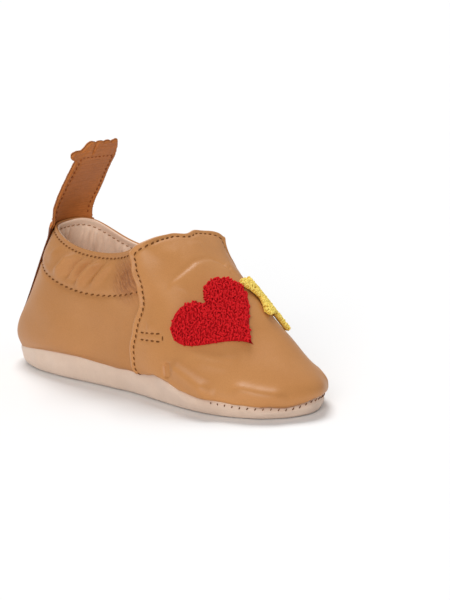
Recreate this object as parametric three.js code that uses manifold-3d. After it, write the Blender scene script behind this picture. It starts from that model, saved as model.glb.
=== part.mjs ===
// A soft leather slipper for a small child, for the right foot.
// Millimetres. +X is forwards, +Y is the inner side of the foot, +Z is up.
// The origin is on the floor, under the middle of the sole.
import * as THREE from "three";
import { mergeVertices } from "three/addons/utils/BufferGeometryUtils.js";
import Module from "manifold-3d";

const wasm = await Module();
wasm.setup();

// Driving sizes
const LENGTH = 134; // of the seam line, heel to toe
const BALL_WIDTH = 49; // of the seam line, across the ball
const HEEL_HEIGHT = 50.5; // of the collar, at the back
const INSTEP_HEIGHT = 53.5; // of the tongue's top edge
const SEAM_HEIGHT = 9; // of the seam line between sole and upper, beside the heel
const UPPER_WALL = 1.6; // quarter leather with its lining
const VAMP_WALL = 1.1;
const GAP = 0.3; // between pieces that touch
const SOLE_WALL = 1.8; // of the sole's turned-up side
const SOLE_FLOOR = 2; // of the sole under the foot
const SOLE_EDGE = 2.6; // how far the tread lies inside the seam line
const HEEL_TUCK = 0.9; // how far the sole's back edge lies under the heel
const HEEL_EDGE = 2.6; // how much further the tread lies inside the seam line at the heel
const INSOLE_THICKNESS = 1.8;
const INSOLE_INSET = 3.8; // from the seam line
const GRIP_DEPTH = 0.8; // of the grip pads let into the sole
const TONGUE_NOTCH = 1.6; // depth of the dip in the tongue's top edge
const TONGUE_CORNER = 5; // how far the tongue's corners are rounded down
const TONGUE_OVER_LINING = 1.2; // how far the tongue stands over the lining's edge
const TAB_WIDTH = 19;
const TAB_WALL = 1.6;
const HAND_LENGTH = 10.5; // of the hand at the pull tab's end
const HAND_STEP = 0.2; // how far the hand's doubled leather stands out on each face
const PATCH_WALL = 2.2; // of the looped patches
const HEART_SIZE = 30;
const STAR_SIZE = 26;

// The shoe's levels, from the seam line up to the collar and the tongue's edge, a row for each section.
// at: place along the foot, a share of the length. outer, inner: half widths, shares of the ball width;
// the heel and the toe, on the middle, have their place across there. rise: height, on the seam line a
// share of the seam height, and above it a share of the way up to the collar, or to the tongue from
// the ball on. fall: how much of that way the inner side lies lower.
const COLUMNS = ["section", "at", "outer", "inner", "rise", "fall"];
const LEVELS = {
  seam: [
    ["heel", -0.505, 0, 0, 0.61, 0],
    ["heelCorner", -0.457, 0.27, 0.27, 0.72, 0],
    ["quarter", -0.284, 0.414, 0.398, 1.033, 0],
    ["waist", -0.03, 0.424, 0.384, 0.989, 0],
    ["ball", 0.187, 0.504, 0.48, 0.656, 0],
    ["toeCorner", 0.382, 0.41, 0.32, 0.467, 0],
    ["toe", 0.464, 0.05, 0.05, 0.66, 0],
  ],
  belly: [
    ["heel", -0.514, 0, 0, 0.138, 0],
    ["heelCorner", -0.467, 0.282, 0.282, 0.118, 0],
    ["quarter", -0.284, 0.457, 0.44, 0.068, 0],
    ["waist", -0.03, 0.465, 0.43, 0.075, 0],
    ["ball", 0.187, 0.552, 0.51, 0.083, 0],
    ["toeCorner", 0.376, 0.43, 0.3, 0.092, 0],
    ["toe", 0.461, 0.05, 0.05, 0.097, 0],
  ],
  side: [
    ["heel", -0.489, 0, 0, 0.314, 0],
    ["heelCorner", -0.444, 0.276, 0.276, 0.298, 0],
    ["quarter", -0.276, 0.453, 0.43, 0.261, 0],
    ["waist", -0.03, 0.465, 0.43, 0.27, 0],
    ["ball", 0.16, 0.5, 0.445, 0.285, 0],
    ["toeCorner", 0.315, 0.32, 0.21, 0.305, 0],
    ["toe", 0.369, 0.02, 0.02, 0.28, 0],
  ],
  shoulder: [
    ["heel", -0.456, 0, 0, 0.56, 0],
    ["heelCorner", -0.409, 0.251, 0.251, 0.55, 0],
    ["quarter", -0.265, 0.414, 0.388, 0.52, 0],
    ["waist", -0.037, 0.445, 0.41, 0.524, 0],
    ["ball", 0.1, 0.449, 0.39, 0.537, 0],
    ["toeCorner", 0.206, 0.286, 0.19, 0.571, 0],
    ["toe", 0.259, 0.01, 0.01, 0.542, 0],
  ],
  instep: [
    ["heel", -0.423, 0, 0, 0.787, 0],
    ["heelCorner", -0.379, 0.229, 0.229, 0.782, 0],
    ["quarter", -0.246, 0.373, 0.343, 0.725, 0.053],
    ["waist", -0.06, 0.404, 0.371, 0.73, 0.025],
    ["ball", 0.043, 0.435, 0.365, 0.758, 0.032],
    ["toeCorner", 0.108, 0.245, 0.175, 0.821, 0.02],
    ["toe", 0.14, 0.01, 0.01, 0.784, 0],
  ],
  rim: [
    ["heel", -0.388, 0, 0, 1, 0],
    ["heelCorner", -0.35, 0.204, 0.204, 0.98, 0],
    ["quarter", -0.229, 0.333, 0.292, 0.89, 0.074],
    ["waist", -0.075, 0.367, 0.337, 0.9, 0.057],
    ["ball", 0.019, 0.414, 0.39, 0.95, 0.063],
    ["toeCorner", 0.035, 0.224, 0.235, 0.985, 0.046],
    ["toe", 0.037, -0.02, -0.02, 0.98, 0],
  ],
};

// Ahead of the waist the seam line keeps its height for a while before it drops to the ball: at and half
// are shares of the length, lift one of the seam height, fade the height share over which it dies out.
const FLANK = { at: 0.1, half: 0.085, lift: 0.21, fade: 0.35 };

// The back edge of the vamp, seen from the side: at is a share of the length, up one of the instep height.
const LAP_EDGE = [
  { at: 0.045, up: 0.1 },
  { at: 0.024, up: 0.22 },
  { at: 0.019, up: 0.34 },
  { at: 0.026, up: 0.44 },
  { at: 0.041, up: 0.6 },
  { at: 0.034, up: 0.69 },
  { at: 0.012, up: 0.82 },
  { at: 0.0, up: 0.92 },
];

// The free part of the pull tab, seen from the side, from the collar up: ahead of the collar's back edge
// and above it, as shares of the heel height. bow is how much of the heel's roundness is left.
const TAB_PATH = [
  { ahead: 0, up: 0, bow: 1 },
  { ahead: 0.052, up: 0.099, bow: 0.5 },
  { ahead: 0.116, up: 0.188, bow: 0.25 },
  { ahead: 0.183, up: 0.277, bow: 0.1 },
  { ahead: 0.25, up: 0.366, bow: 0 },
  { ahead: 0.285, up: 0.416, bow: 0 },
];

// The fingers of the hand, across the tab from its outer edge: shares of the tab's width, and for the
// tip of the hand's length.
const FINGERS = [
  { middle: -0.328, half: 0.125, tip: 0.95 },
  { middle: -0.096, half: 0.108, tip: 0.94 },
  { middle: 0.122, half: 0.111, tip: 0.91 },
  { middle: 0.328, half: 0.1, tip: 0.92 },
];
const FINGER_ROUND = 0.11; // height of a finger's round end, a share of the hand's length
const THUMB = { middle: -0.575, up: 0.45, round: 0.125 };

// Grip pads let into the sole: places behind the toe and across, shares of the length and ball width.
const GRIPS = [
  { name: "grip_ball", behind: 0.27, across: -0.04, long: 0.131, wide: 0.74, turn: 0 },
  { name: "grip_toe_1", behind: 0.142, across: 0.26, long: 0.083, wide: 0.18, turn: 0.6 },
  { name: "grip_toe_2", behind: 0.112, across: 0.03, long: 0.108, wide: 0.23, turn: 0 },
  { name: "grip_toe_3", behind: 0.127, across: -0.19, long: 0.09, wide: 0.19, turn: -0.15 },
  { name: "grip_toe_4", behind: 0.178, across: -0.355, long: 0.044, wide: 0.12, turn: -0.3 },
];

const { clamp, lerp, smoothstep } = THREE.MathUtils;
const TURN = 2 * Math.PI;
const SAME = 1e-4; // distance under which two corners are one point
const STEP = 1e-3; // in t and v, for directions on the surface
const SPLINE_PASSES = 60;
const SOLVE_PASSES = 30;

// Control values of a closed uniform cubic spline that passes through the values.
function closedControls(values) {
  const n = values.length;
  let c = values.slice();
  for (let pass = 0; pass < SPLINE_PASSES; pass++) {
    c = values.map((v, i) => (6 * v - c[(i + n - 1) % n] - c[(i + 1) % n]) / 4);
  }
  return c;
}

// The same for an open spline with straight ends.
function openControls(values) {
  const last = values.length - 1;
  let c = values.slice();
  for (let pass = 0; pass < SPLINE_PASSES; pass++) {
    c = values.map((v, i) => (i === 0 || i === last ? v : (6 * v - c[i - 1] - c[i + 1]) / 4));
  }
  return [2 * c[0] - c[1], ...c, 2 * c[last] - c[last - 1]];
}

// Shares that four neighbouring control values have in a uniform cubic spline.
const weights = (f) => [
  (1 - f) ** 3 / 6,
  (3 * f ** 3 - 6 * f ** 2 + 4) / 6,
  (-3 * f ** 3 + 3 * f ** 2 + 3 * f + 1) / 6,
  f ** 3 / 6,
];

const named = (columns, row) => Object.fromEntries(columns.map((column, i) => [column, row[i]]));
const levels = Object.values(LEVELS).map((rows) => rows.map((row) => named(COLUMNS, row)));
const seamHeights = levels[0].map((row) => row.rise * SEAM_HEIGHT);
const BALL_ROW = levels[0].findIndex((row) => row.section === "ball");

// Once round a level: from the heel along the outer side to the toe, and back along the inner side.
function levelRing(rows, isSeam) {
  const height = (row, i, rise) => {
    const top = i < BALL_ROW ? HEEL_HEIGHT : INSTEP_HEIGHT;
    return isSeam ? seamHeights[i] : lerp(seamHeights[i], top, rise);
  };
  const outer = rows.map((row, i) => [
    row.at * LENGTH,
    -row.outer * BALL_WIDTH,
    height(row, i, row.rise),
  ]);
  const inner = rows.map((row, i) => [
    row.at * LENGTH,
    row.inner * BALL_WIDTH,
    height(row, i, row.rise - row.fall),
  ]);
  return [...outer, ...inner.slice(1, -1).reverse()];
}

// How much the seam line is lifted at a place along the foot.
function flankLift(x) {
  const away = clamp((x / LENGTH - FLANK.at) / FLANK.half, -1, 1);
  return FLANK.lift * SEAM_HEIGHT * Math.cos((away * Math.PI) / 2) ** 2;
}

// A smooth surface through closed rings of points, each with as many points as the others.
function surfaceThrough(rings) {
  const round = rings[0].length;
  const net = [0, 1, 2].map((axis) => {
    const closed = rings.map((ring) => closedControls(ring.map((p) => p[axis])));
    return closed[0].map((_, i) => openControls(closed.map((row) => row[i])));
  });
  const point = (t, v) => {
    const a = (((t % 1) + 1) % 1) * round;
    const i = Math.floor(a);
    const wa = weights(a - i);
    const b = v * (rings.length - 1);
    const j = clamp(Math.floor(b), 0, rings.length - 2);
    const wb = weights(b - j);
    const p = net.map((column) => {
      let sum = 0;
      wa.forEach((w1, k) => {
        const row = column[(i + k - 1 + round) % round];
        wb.forEach((w2, m) => (sum += w1 * w2 * row[j + m]));
      });
      return sum;
    });
    p[2] += flankLift(p[0]) * (1 - smoothstep(v, 0, FLANK.fade));
    return p;
  };
  return (t, v, out = 0) => {
    const p = new THREE.Vector3(...point(t, v));
    if (!out) return p;
    const vector = (a, b) => new THREE.Vector3(...b).sub(new THREE.Vector3(...a));
    const along = vector(point(t - STEP, v), point(t + STEP, v));
    const up = vector(point(t, v - STEP), point(t, v + STEP));
    return p.addScaledVector(along.cross(up).normalize(), out);
  };
}

// The outside of the quarters, and of the lining under the vamp. t goes once round the foot from the
// heel along the outer side, and v from the seam line up to the collar or the tongue's edge.
const shoe = surfaceThrough(levels.map((rows, i) => levelRing(rows, i === 0)));

// Where a quantity that grows with t reaches zero.
function solve(low, high, value) {
  for (let pass = 0; pass < SOLVE_PASSES; pass++) {
    const middle = (low + high) / 2;
    if (value(middle) < 0) low = middle;
    else high = middle;
  }
  return (low + high) / 2;
}

// Value of a table's column at a place, eased from row to row.
function lookUp(table, place, x, column) {
  const next = table.findIndex((row) => row[place] > x);
  if (next === 0) return table[0][column];
  if (next < 0) return table[table.length - 1][column];
  const [a, b] = [table[next - 1], table[next]];
  return lerp(a[column], b[column], smoothstep(x, a[place], b[place]));
}

// Place t of the vamp's back edge on the outer side, for a height share v.
const LAP_RANGE = [0.2, 0.42];
const lapEdge = (v) =>
  solve(...LAP_RANGE, (t) => {
    const p = shoe(t, v);
    return p.x - lookUp(LAP_EDGE, "up", p.z / INSTEP_HEIGHT, "at") * LENGTH;
  });

// Length of a full step in v, measured on the top share of the vamp.
const TOP_SHARE = 0.2;
const CLIMB = shoe(0.5, 1).distanceTo(shoe(0.5, 1 - TOP_SHARE)) / TOP_SHARE;

// Place t of the vamp's edge on the inner side. In the tongue it lies further forward than the outer one,
// by a share of the way round the foot that grows from one height share to another.
const TONGUE_TURN = 0.06;
const TURN_RANGE = [0.4, 0.85];
const farEdge = (v) => 1 - lapEdge(v) - TONGUE_TURN * smoothstep(v, ...TURN_RANGE);

// Height share of the tongue's top edge, for a share s of the way across from its outer corner.
const NOTCH_AT = 0.54;
const NOTCH_HALF = 0.13;
const CORNER_SHARES = { outer: 0.11, inner: 0.2 };
function tongueEdge(s) {
  const notch = 1 - smoothstep(Math.abs(s - NOTCH_AT), 0, NOTCH_HALF);
  const corner = 1 - clamp(Math.min(s / CORNER_SHARES.outer, (1 - s) / CORNER_SHARES.inner), 0, 1);
  const drop = TONGUE_NOTCH * notch + TONGUE_CORNER * (1 - Math.sqrt(1 - corner ** 2));
  return 1 - drop / CLIMB;
}

function geometryOf(positions) {
  const g = new THREE.BufferGeometry();
  g.setAttribute("position", new THREE.Float32BufferAttribute(positions, 3));
  return g;
}

// Adds the two triangles of a face with four corners, less one where two corners are the same point.
function addFace(positions, ...corners) {
  const [a, b, c, d] = corners;
  for (const triangle of [[a, b, c], [a, c, d]]) {
    const distinct = triangle.every((p, i) => p.distanceTo(triangle[(i + 1) % 3]) > SAME);
    if (distinct) triangle.forEach((p) => positions.push(...p.toArray()));
  }
}

// Closed wall between two grids of points, open or closed round its columns.
function wall(cols, rows, outside, inside, closed) {
  const positions = [];
  const face = (...corners) => addFace(positions, ...corners);
  const grid = (side) =>
    Array.from({ length: cols + 1 }, (_, i) => Array.from({ length: rows + 1 }, (_, j) => side(i, j)));
  const [o, n] = [grid(outside), grid(inside)];
  for (let i = 0; i < cols; i++) {
    for (let j = 0; j < rows; j++) {
      face(o[i][j], o[i + 1][j], o[i + 1][j + 1], o[i][j + 1]);
      face(n[i][j], n[i][j + 1], n[i + 1][j + 1], n[i + 1][j]);
    }
    face(o[i][rows], o[i + 1][rows], n[i + 1][rows], n[i][rows]);
    face(n[i][0], n[i + 1][0], o[i + 1][0], o[i][0]);
  }
  for (let j = 0; j < rows && !closed; j++) {
    face(n[0][j], o[0][j], o[0][j + 1], n[0][j + 1]);
    face(o[cols][j], n[cols][j], n[cols][j + 1], o[cols][j + 1]);
  }
  return geometryOf(positions);
}

// The line down the middle of a loop round the foot, as a loop of its own.
const spine = (loop) =>
  loop.map((p, i) => p.clone().lerp(loop[(loop.length - i) % loop.length], 0.5));

// Faces between loops that follow each other, the first one above or inside the second.
function addBands(positions, loops, flip) {
  loops.slice(1).forEach((below, k) => {
    const above = loops[k];
    above.forEach((p, i) => {
      const m = (i + 1) % above.length;
      if (flip) addFace(positions, p, above[m], below[m], below[i]);
      else addFace(positions, p, below[i], below[m], above[m]);
    });
  });
}

function toSolid(geometry) {
  const g = geometry.clone();
  g.deleteAttribute("normal");
  g.deleteAttribute("uv");
  const merged = mergeVertices(g, SAME);
  return new wasm.Manifold(
    new wasm.Mesh({
      numProp: 3,
      vertProperties: new Float32Array(merged.attributes.position.array),
      triVerts: new Uint32Array(merged.index.array),
    }),
  );
}

function toGeometry(solid) {
  const mesh = solid.getMesh();
  const g = new THREE.BufferGeometry();
  g.setAttribute("position", new THREE.Float32BufferAttribute(mesh.vertProperties, 3));
  g.setIndex([...mesh.triVerts]);
  return g;
}

const AROUND = 72; // columns round the foot
const UP = 12; // rows from the seam line to the edge
const VAMP_COLS = 36;
const VAMP_START = 0.015; // share at which the vamp starts above the seam line
const VAMP_OUT = GAP + VAMP_WALL;

// Places t of the tongue's two corners.
const lapTop = lapEdge(1);
const farTop = farEdge(1);

// Height share of the upper's edge: the collar's, and under the tongue a little less than the tongue's.
const CORNER_BLEND = 0.06;
function upperTop(t) {
  const s = (t - lapTop) / (farTop - lapTop);
  if (s <= 0 || s >= 1) return 1;
  const under = tongueEdge(s) - TONGUE_OVER_LINING / CLIMB;
  return Math.min(1, lerp(1, under, smoothstep(Math.min(s, 1 - s), 0, CORNER_BLEND)));
}

function upper() {
  const side = (out) => (i, j) => {
    const t = (i % AROUND) / AROUND;
    return shoe(t, (j / UP) * upperTop(t), out);
  };
  return wall(AROUND, UP, side(0), side(-UPPER_WALL), true);
}

function vamp() {
  const side = (out) => (i, j) => {
    const s = i / VAMP_COLS;
    const v = lerp(VAMP_START, tongueEdge(s), j / UP);
    return shoe(lerp(lapEdge(v), farEdge(v), s), v, out);
  };
  return wall(VAMP_COLS, UP, side(VAMP_OUT), side(GAP), false);
}

// A loop round the sole, inside the seam line by some way, at a height that may depend on the seam's.
// Towards the back, from one share of the length to the other, its lower part is tucked in under the
// heel, and the loop goes in further by heelInset.
const TUCK_FROM = 0.36;
const TUCK_TO = 0.5;
const TUCK_DROP = 0.45; // share of the seam's height down from it at which the tuck is full
function soleLoop(inset, height, heelInset = 0) {
  return Array.from({ length: AROUND }, (_, i) => {
    const t = i / AROUND;
    const p = shoe(t, 0);
    const along = shoe(t + STEP, 0).sub(shoe(t - STEP, 0));
    const heel = smoothstep(-p.x / LENGTH, TUCK_FROM, TUCK_TO);
    const outwards = new THREE.Vector2(along.y, -along.x).normalize();
    const seam = p.z - GAP;
    const drop = 1 - height(seam) / seam;
    const tuck = heel * (heelInset + HEEL_TUCK * smoothstep(drop, 0, TUCK_DROP));
    const out = outwards.multiplyScalar(-inset - tuck);
    return new THREE.Vector3(p.x + out.x, p.y + out.y, height(seam));
  });
}

// The sole's side from the seam line down to the tread, a row for each loop: inset as a share of the
// tread's inset, up as a share of the seam's height. Inside, the wall meets the floor in a slope.
const SLOPE_TOP = 0.4; // share of the way from the floor up to the seam
const SLOPE_FOOT = 1;
const SOLE_SIDE = [
  { inset: 0, up: 1 },
  { inset: -0.15, up: 0.62 },
  { inset: 0.05, up: 0.28 },
  { inset: 0.36, up: 0.09 },
  { inset: 1, up: 0 },
];

function outsole() {
  const outer = SOLE_SIDE.map((row) => {
    const heelInset = Math.max(row.inset, 0) * HEEL_EDGE;
    return soleLoop(row.inset * SOLE_EDGE, (seam) => row.up * seam, heelInset);
  });
  const inner = [
    soleLoop(SOLE_WALL, (seam) => seam),
    soleLoop(SOLE_WALL, (seam) => lerp(SOLE_FLOOR, seam, SLOPE_TOP)),
    soleLoop(SOLE_WALL + SLOPE_FOOT, () => SOLE_FLOOR),
  ];
  const positions = [];
  addBands(positions, [...outer, spine(outer.at(-1))], false);
  addBands(positions, [...inner, spine(inner.at(-1))], true);
  addBands(positions, [inner[0], outer[0]], false);
  const pockets = GRIPS.map((grip) => toSolid(gripBlock(grip, GAP, -1)));
  const solid = pockets.reduce((tray, pocket) => tray.subtract(pocket), toSolid(geometryOf(positions)));
  return toGeometry(solid);
}

// A grip pad's block, grown by a clearance on its sides and its top, from a height up.
function gripBlock(grip, clearance, bottom) {
  const shape = new THREE.Shape();
  const tip = LEVELS.seam.at(-1)[1] * LENGTH;
  const across = grip.across * BALL_WIDTH;
  const radii = [(grip.long * LENGTH) / 2 + clearance, (grip.wide * BALL_WIDTH) / 2 + clearance];
  shape.absellipse(tip - grip.behind * LENGTH, across, ...radii, 0, TURN, false, grip.turn);
  const depth = GRIP_DEPTH + clearance - bottom;
  const g = new THREE.ExtrudeGeometry(shape, { depth, bevelEnabled: false, curveSegments: 16 });
  return g.translate(0, 0, bottom);
}

function insole() {
  const bottom = SOLE_FLOOR + GAP;
  const low = soleLoop(INSOLE_INSET, () => bottom);
  const high = soleLoop(INSOLE_INSET - GAP, () => bottom + INSOLE_THICKNESS);
  const positions = [];
  addBands(positions, [spine(high), high, low, spine(low)], false);
  return geometryOf(positions);
}

// Place t on the back of the heel that lies across by some way.
const HEEL_RANGE = [-0.12, 0.12];
const heelPlace = (v, across) => solve(...HEEL_RANGE, (t) => across - shoe(t, v).y);

const TAB_COLS = 6;
const HEEL_ROWS = 8; // of the strip on the heel
const FREE_ROWS = 8; // of the strip above the collar
const TAB_START = 0.02; // share at which the strip starts above the seam line

const tabBack = shoe(0, 1, GAP);
const tabLine = new THREE.CatmullRomCurve3(
  TAB_PATH.map(
    (row) => new THREE.Vector3(tabBack.x + row.ahead * HEEL_HEIGHT, 0, tabBack.z + row.up * HEEL_HEIGHT),
  ),
);

// The strip's face towards the foot, for a share c across from -1 to 1, moved backwards by some way.
function tabPoint(c, j, back) {
  const across = (c * TAB_WIDTH) / 2;
  if (j <= HEEL_ROWS) {
    const v = lerp(TAB_START, 1, j / HEEL_ROWS);
    return shoe(heelPlace(v, across), v, GAP + back);
  }
  const s = (j - HEEL_ROWS) / FREE_ROWS;
  const p = tabLine.getPoint(s);
  const ahead = tabLine.getTangent(s);
  const row = s * (TAB_PATH.length - 1);
  const k = Math.min(Math.floor(row), TAB_PATH.length - 2);
  const bow = lerp(TAB_PATH[k].bow, TAB_PATH[k + 1].bow, row - k);
  const round = shoe(heelPlace(1, across), 1, GAP).sub(tabBack);
  p.x += round.x * bow - ahead.z * back;
  p.z += round.z * bow + ahead.x * back;
  p.y = across;
  return p;
}

// The hand's outline: a palm as wide as the strip, four fingers and a thumb. It starts a little down
// the strip, and its parts are shares of its length. The thumb's arc leaves the palm and meets it again.
const PALM_ROOT = -0.08;
const PALM_TOP = 0.36;
const THUMB_ARC = [1.2, 4.6];
function handShape() {
  const shape = new THREE.Shape();
  const half = TAB_WIDTH / 2;
  const root = PALM_ROOT * HAND_LENGTH;
  shape.moveTo(-half, root);
  shape.lineTo(half, root);
  shape.lineTo(half, PALM_TOP * HAND_LENGTH);
  const round = FINGER_ROUND * HAND_LENGTH;
  for (const finger of [...FINGERS].reverse()) {
    const top = finger.tip * HAND_LENGTH - round;
    shape.absellipse(finger.middle * TAB_WIDTH, top, finger.half * TAB_WIDTH, round, 0, Math.PI, false, 0);
  }
  const thumb = THUMB.round * TAB_WIDTH;
  shape.absarc(THUMB.middle * TAB_WIDTH, THUMB.up * HAND_LENGTH, thumb, ...THUMB_ARC, false);
  return shape;
}

function pullTab() {
  const side = (back) => (i, j) => tabPoint(1 - (2 * i) / TAB_COLS, j, back);
  const strip = wall(TAB_COLS, HEEL_ROWS + FREE_ROWS, side(TAB_WALL), side(0), false);
  const up = tabLine.getTangent(1);
  const front = new THREE.Vector3(up.z, 0, -up.x);
  const start = tabLine.getPoint(1).addScaledVector(front, -TAB_WALL - HAND_STEP);
  const hand = new THREE.ExtrudeGeometry(handShape(), {
    depth: TAB_WALL + 2 * HAND_STEP,
    bevelEnabled: false,
    curveSegments: 6,
  });
  const across = new THREE.Vector3(0, 1, 0);
  hand.applyMatrix4(new THREE.Matrix4().makeBasis(across, up, front).setPosition(start));
  return toGeometry(toSolid(strip).add(toSolid(hand)));
}

// A heart's outline. Its curve is the usual one, 32 units across.
const HEART_POINTS = 28;
function heartShape(size) {
  const unit = size / 32;
  const at = (a) => {
    const y = 13 * Math.cos(a) - 5 * Math.cos(2 * a) - 2 * Math.cos(3 * a) - Math.cos(4 * a);
    return new THREE.Vector2(16 * Math.sin(a) ** 3 * unit, y * unit);
  };
  return new THREE.Shape(Array.from({ length: HEART_POINTS }, (_, i) => at((-i / HEART_POINTS) * TURN)));
}

// A star's outline. Each point has two corners, for a blunt tip, and a notch follows it: turn is a share
// of the way to the next point, radius a share of the size.
const STAR_POINTS = 5;
const STAR_CORNERS = [
  { turn: -0.07, radius: 0.48 },
  { turn: 0.07, radius: 0.48 },
  { turn: 0.5, radius: 0.25 },
];
function starShape(size) {
  const points = [];
  for (let i = 0; i < STAR_POINTS; i++) {
    for (const corner of STAR_CORNERS) {
      const a = ((i + corner.turn) / STAR_POINTS) * TURN;
      const radius = corner.radius * size;
      points.push(new THREE.Vector2(Math.cos(a) * radius, Math.sin(a) * radius));
    }
  }
  return new THREE.Shape(points);
}

// A patch on the vamp: a shape cut straight through a layer that follows the vamp's outside.
const LAYER = { aroundHalf: 0.13, upHalf: 0.27, cols: 24, rows: 18 };
const CUT_DEPTH = 26;
function patch(shape, place) {
  const inside = VAMP_OUT + GAP;
  const { aroundHalf, upHalf, cols, rows } = LAYER;
  const side = (out) => (i, j) => {
    const t = place.t + lerp(-aroundHalf, aroundHalf, i / cols);
    return shoe(t, place.v + lerp(-upHalf, upHalf, j / rows), out);
  };
  const layer = wall(cols, rows, side(inside + PATCH_WALL), side(inside), false);
  const middle = shoe(place.t, place.v, inside);
  const out = shoe(place.t, place.v, inside + 1).sub(middle).normalize();
  const climb = shoe(place.t, place.v + STEP, inside).sub(middle);
  const across = climb.clone().cross(out).applyAxisAngle(out, place.turn).normalize();
  const up = out.clone().cross(across);
  const cutter = new THREE.ExtrudeGeometry(shape, { depth: CUT_DEPTH, bevelEnabled: false });
  const start = middle.addScaledVector(out, -CUT_DEPTH / 2);
  cutter.applyMatrix4(new THREE.Matrix4().makeBasis(across, up, out).setPosition(start));
  return toGeometry(toSolid(layer).intersect(toSolid(cutter)));
}

const root = new THREE.Group();
function piece(name, geometry, color, roughness) {
  geometry.deleteAttribute("normal");
  geometry.deleteAttribute("uv");
  const g = mergeVertices(geometry, SAME);
  g.computeVertexNormals();
  const material = new THREE.MeshStandardMaterial({ color, roughness, metalness: 0 });
  const mesh = new THREE.Mesh(g, material);
  mesh.name = name;
  root.add(mesh);
}

const HEART_PLACE = { t: 0.424, v: 0.563, turn: 0.25 };
const STAR_PLACE = { t: 0.586, v: 0.565, turn: 0 };
piece("outsole", outsole(), 0xe3cbbb, 0.9);
GRIPS.forEach((grip) => piece(grip.name, gripBlock(grip, 0, 0), 0xd9b79e, 0.8));
piece("insole", insole(), 0xd9b8a2, 0.85);
piece("upper", upper(), 0xb87f4e, 0.55);
piece("vamp", vamp(), 0xc08a58, 0.55);
piece("pull_tab", pullTab(), 0x8f5331, 0.6);
piece("patch_heart", patch(heartShape(HEART_SIZE), HEART_PLACE), 0xb81f28, 1);
piece("patch_star", patch(starShape(STAR_SIZE), STAR_PLACE), 0xe2b12c, 1);

export default root;
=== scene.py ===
"""The looks of a soft leather slipper for a small child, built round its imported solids.

Lengths are in millimetres up to the point where a mesh is made. The shoe's own surface is worked
out here from the same tables as the solids, so that each piece lies where its solid does.
"""
import math

import bpy
import numpy as np
from mathutils import Matrix, Vector
from mathutils.geometry import delaunay_2d_cdt
from mathutils.kdtree import KDTree


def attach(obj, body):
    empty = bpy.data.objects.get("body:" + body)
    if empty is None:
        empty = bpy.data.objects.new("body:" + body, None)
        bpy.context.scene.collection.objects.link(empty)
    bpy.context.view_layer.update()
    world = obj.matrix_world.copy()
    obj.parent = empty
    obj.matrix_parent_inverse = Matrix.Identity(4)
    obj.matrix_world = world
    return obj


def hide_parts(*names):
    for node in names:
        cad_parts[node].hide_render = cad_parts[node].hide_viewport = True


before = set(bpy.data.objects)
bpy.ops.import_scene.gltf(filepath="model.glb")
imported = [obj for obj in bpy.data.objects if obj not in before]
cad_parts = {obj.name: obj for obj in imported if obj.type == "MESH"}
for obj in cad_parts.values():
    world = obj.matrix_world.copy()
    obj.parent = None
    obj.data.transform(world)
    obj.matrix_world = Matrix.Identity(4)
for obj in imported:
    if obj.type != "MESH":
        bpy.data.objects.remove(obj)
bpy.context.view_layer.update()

MM = 0.001
LENGTH = 134.0
BALL_WIDTH = 49.0
HEEL_HEIGHT = 50.5
INSTEP_HEIGHT = 53.5
SEAM_HEIGHT = 9.0
UPPER_WALL = 1.6
VAMP_WALL = 1.1
GAP = 0.3  # between two pieces
SOLE_WALL = 1.8
SOLE_FLOOR = 2.0
SOLE_EDGE = 2.6  # from the seam line in to the tread
HEEL_TUCK = 0.9  # more of that under the heel's seam
HEEL_EDGE = 2.6  # and at the heel's tread
TONGUE_NOTCH = 1.6
TONGUE_CORNER = 5.0
TONGUE_OVER_LINING = 1.2
NOTCH_AT, NOTCH_HALF = 0.54, 0.13  # shares of the tongue's width
OUTER_CORNER, INNER_CORNER = 0.11, 0.2
TONGUE_TURN, TURN_FROM, TURN_TO = 0.06, 0.4, 0.85  # how far the tongue's inner edge lies forwards
TAB_WIDTH = 19.0
TAB_WALL = 1.6
HEART_SIZE = 30.0
STAR_SIZE = 26.0

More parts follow.
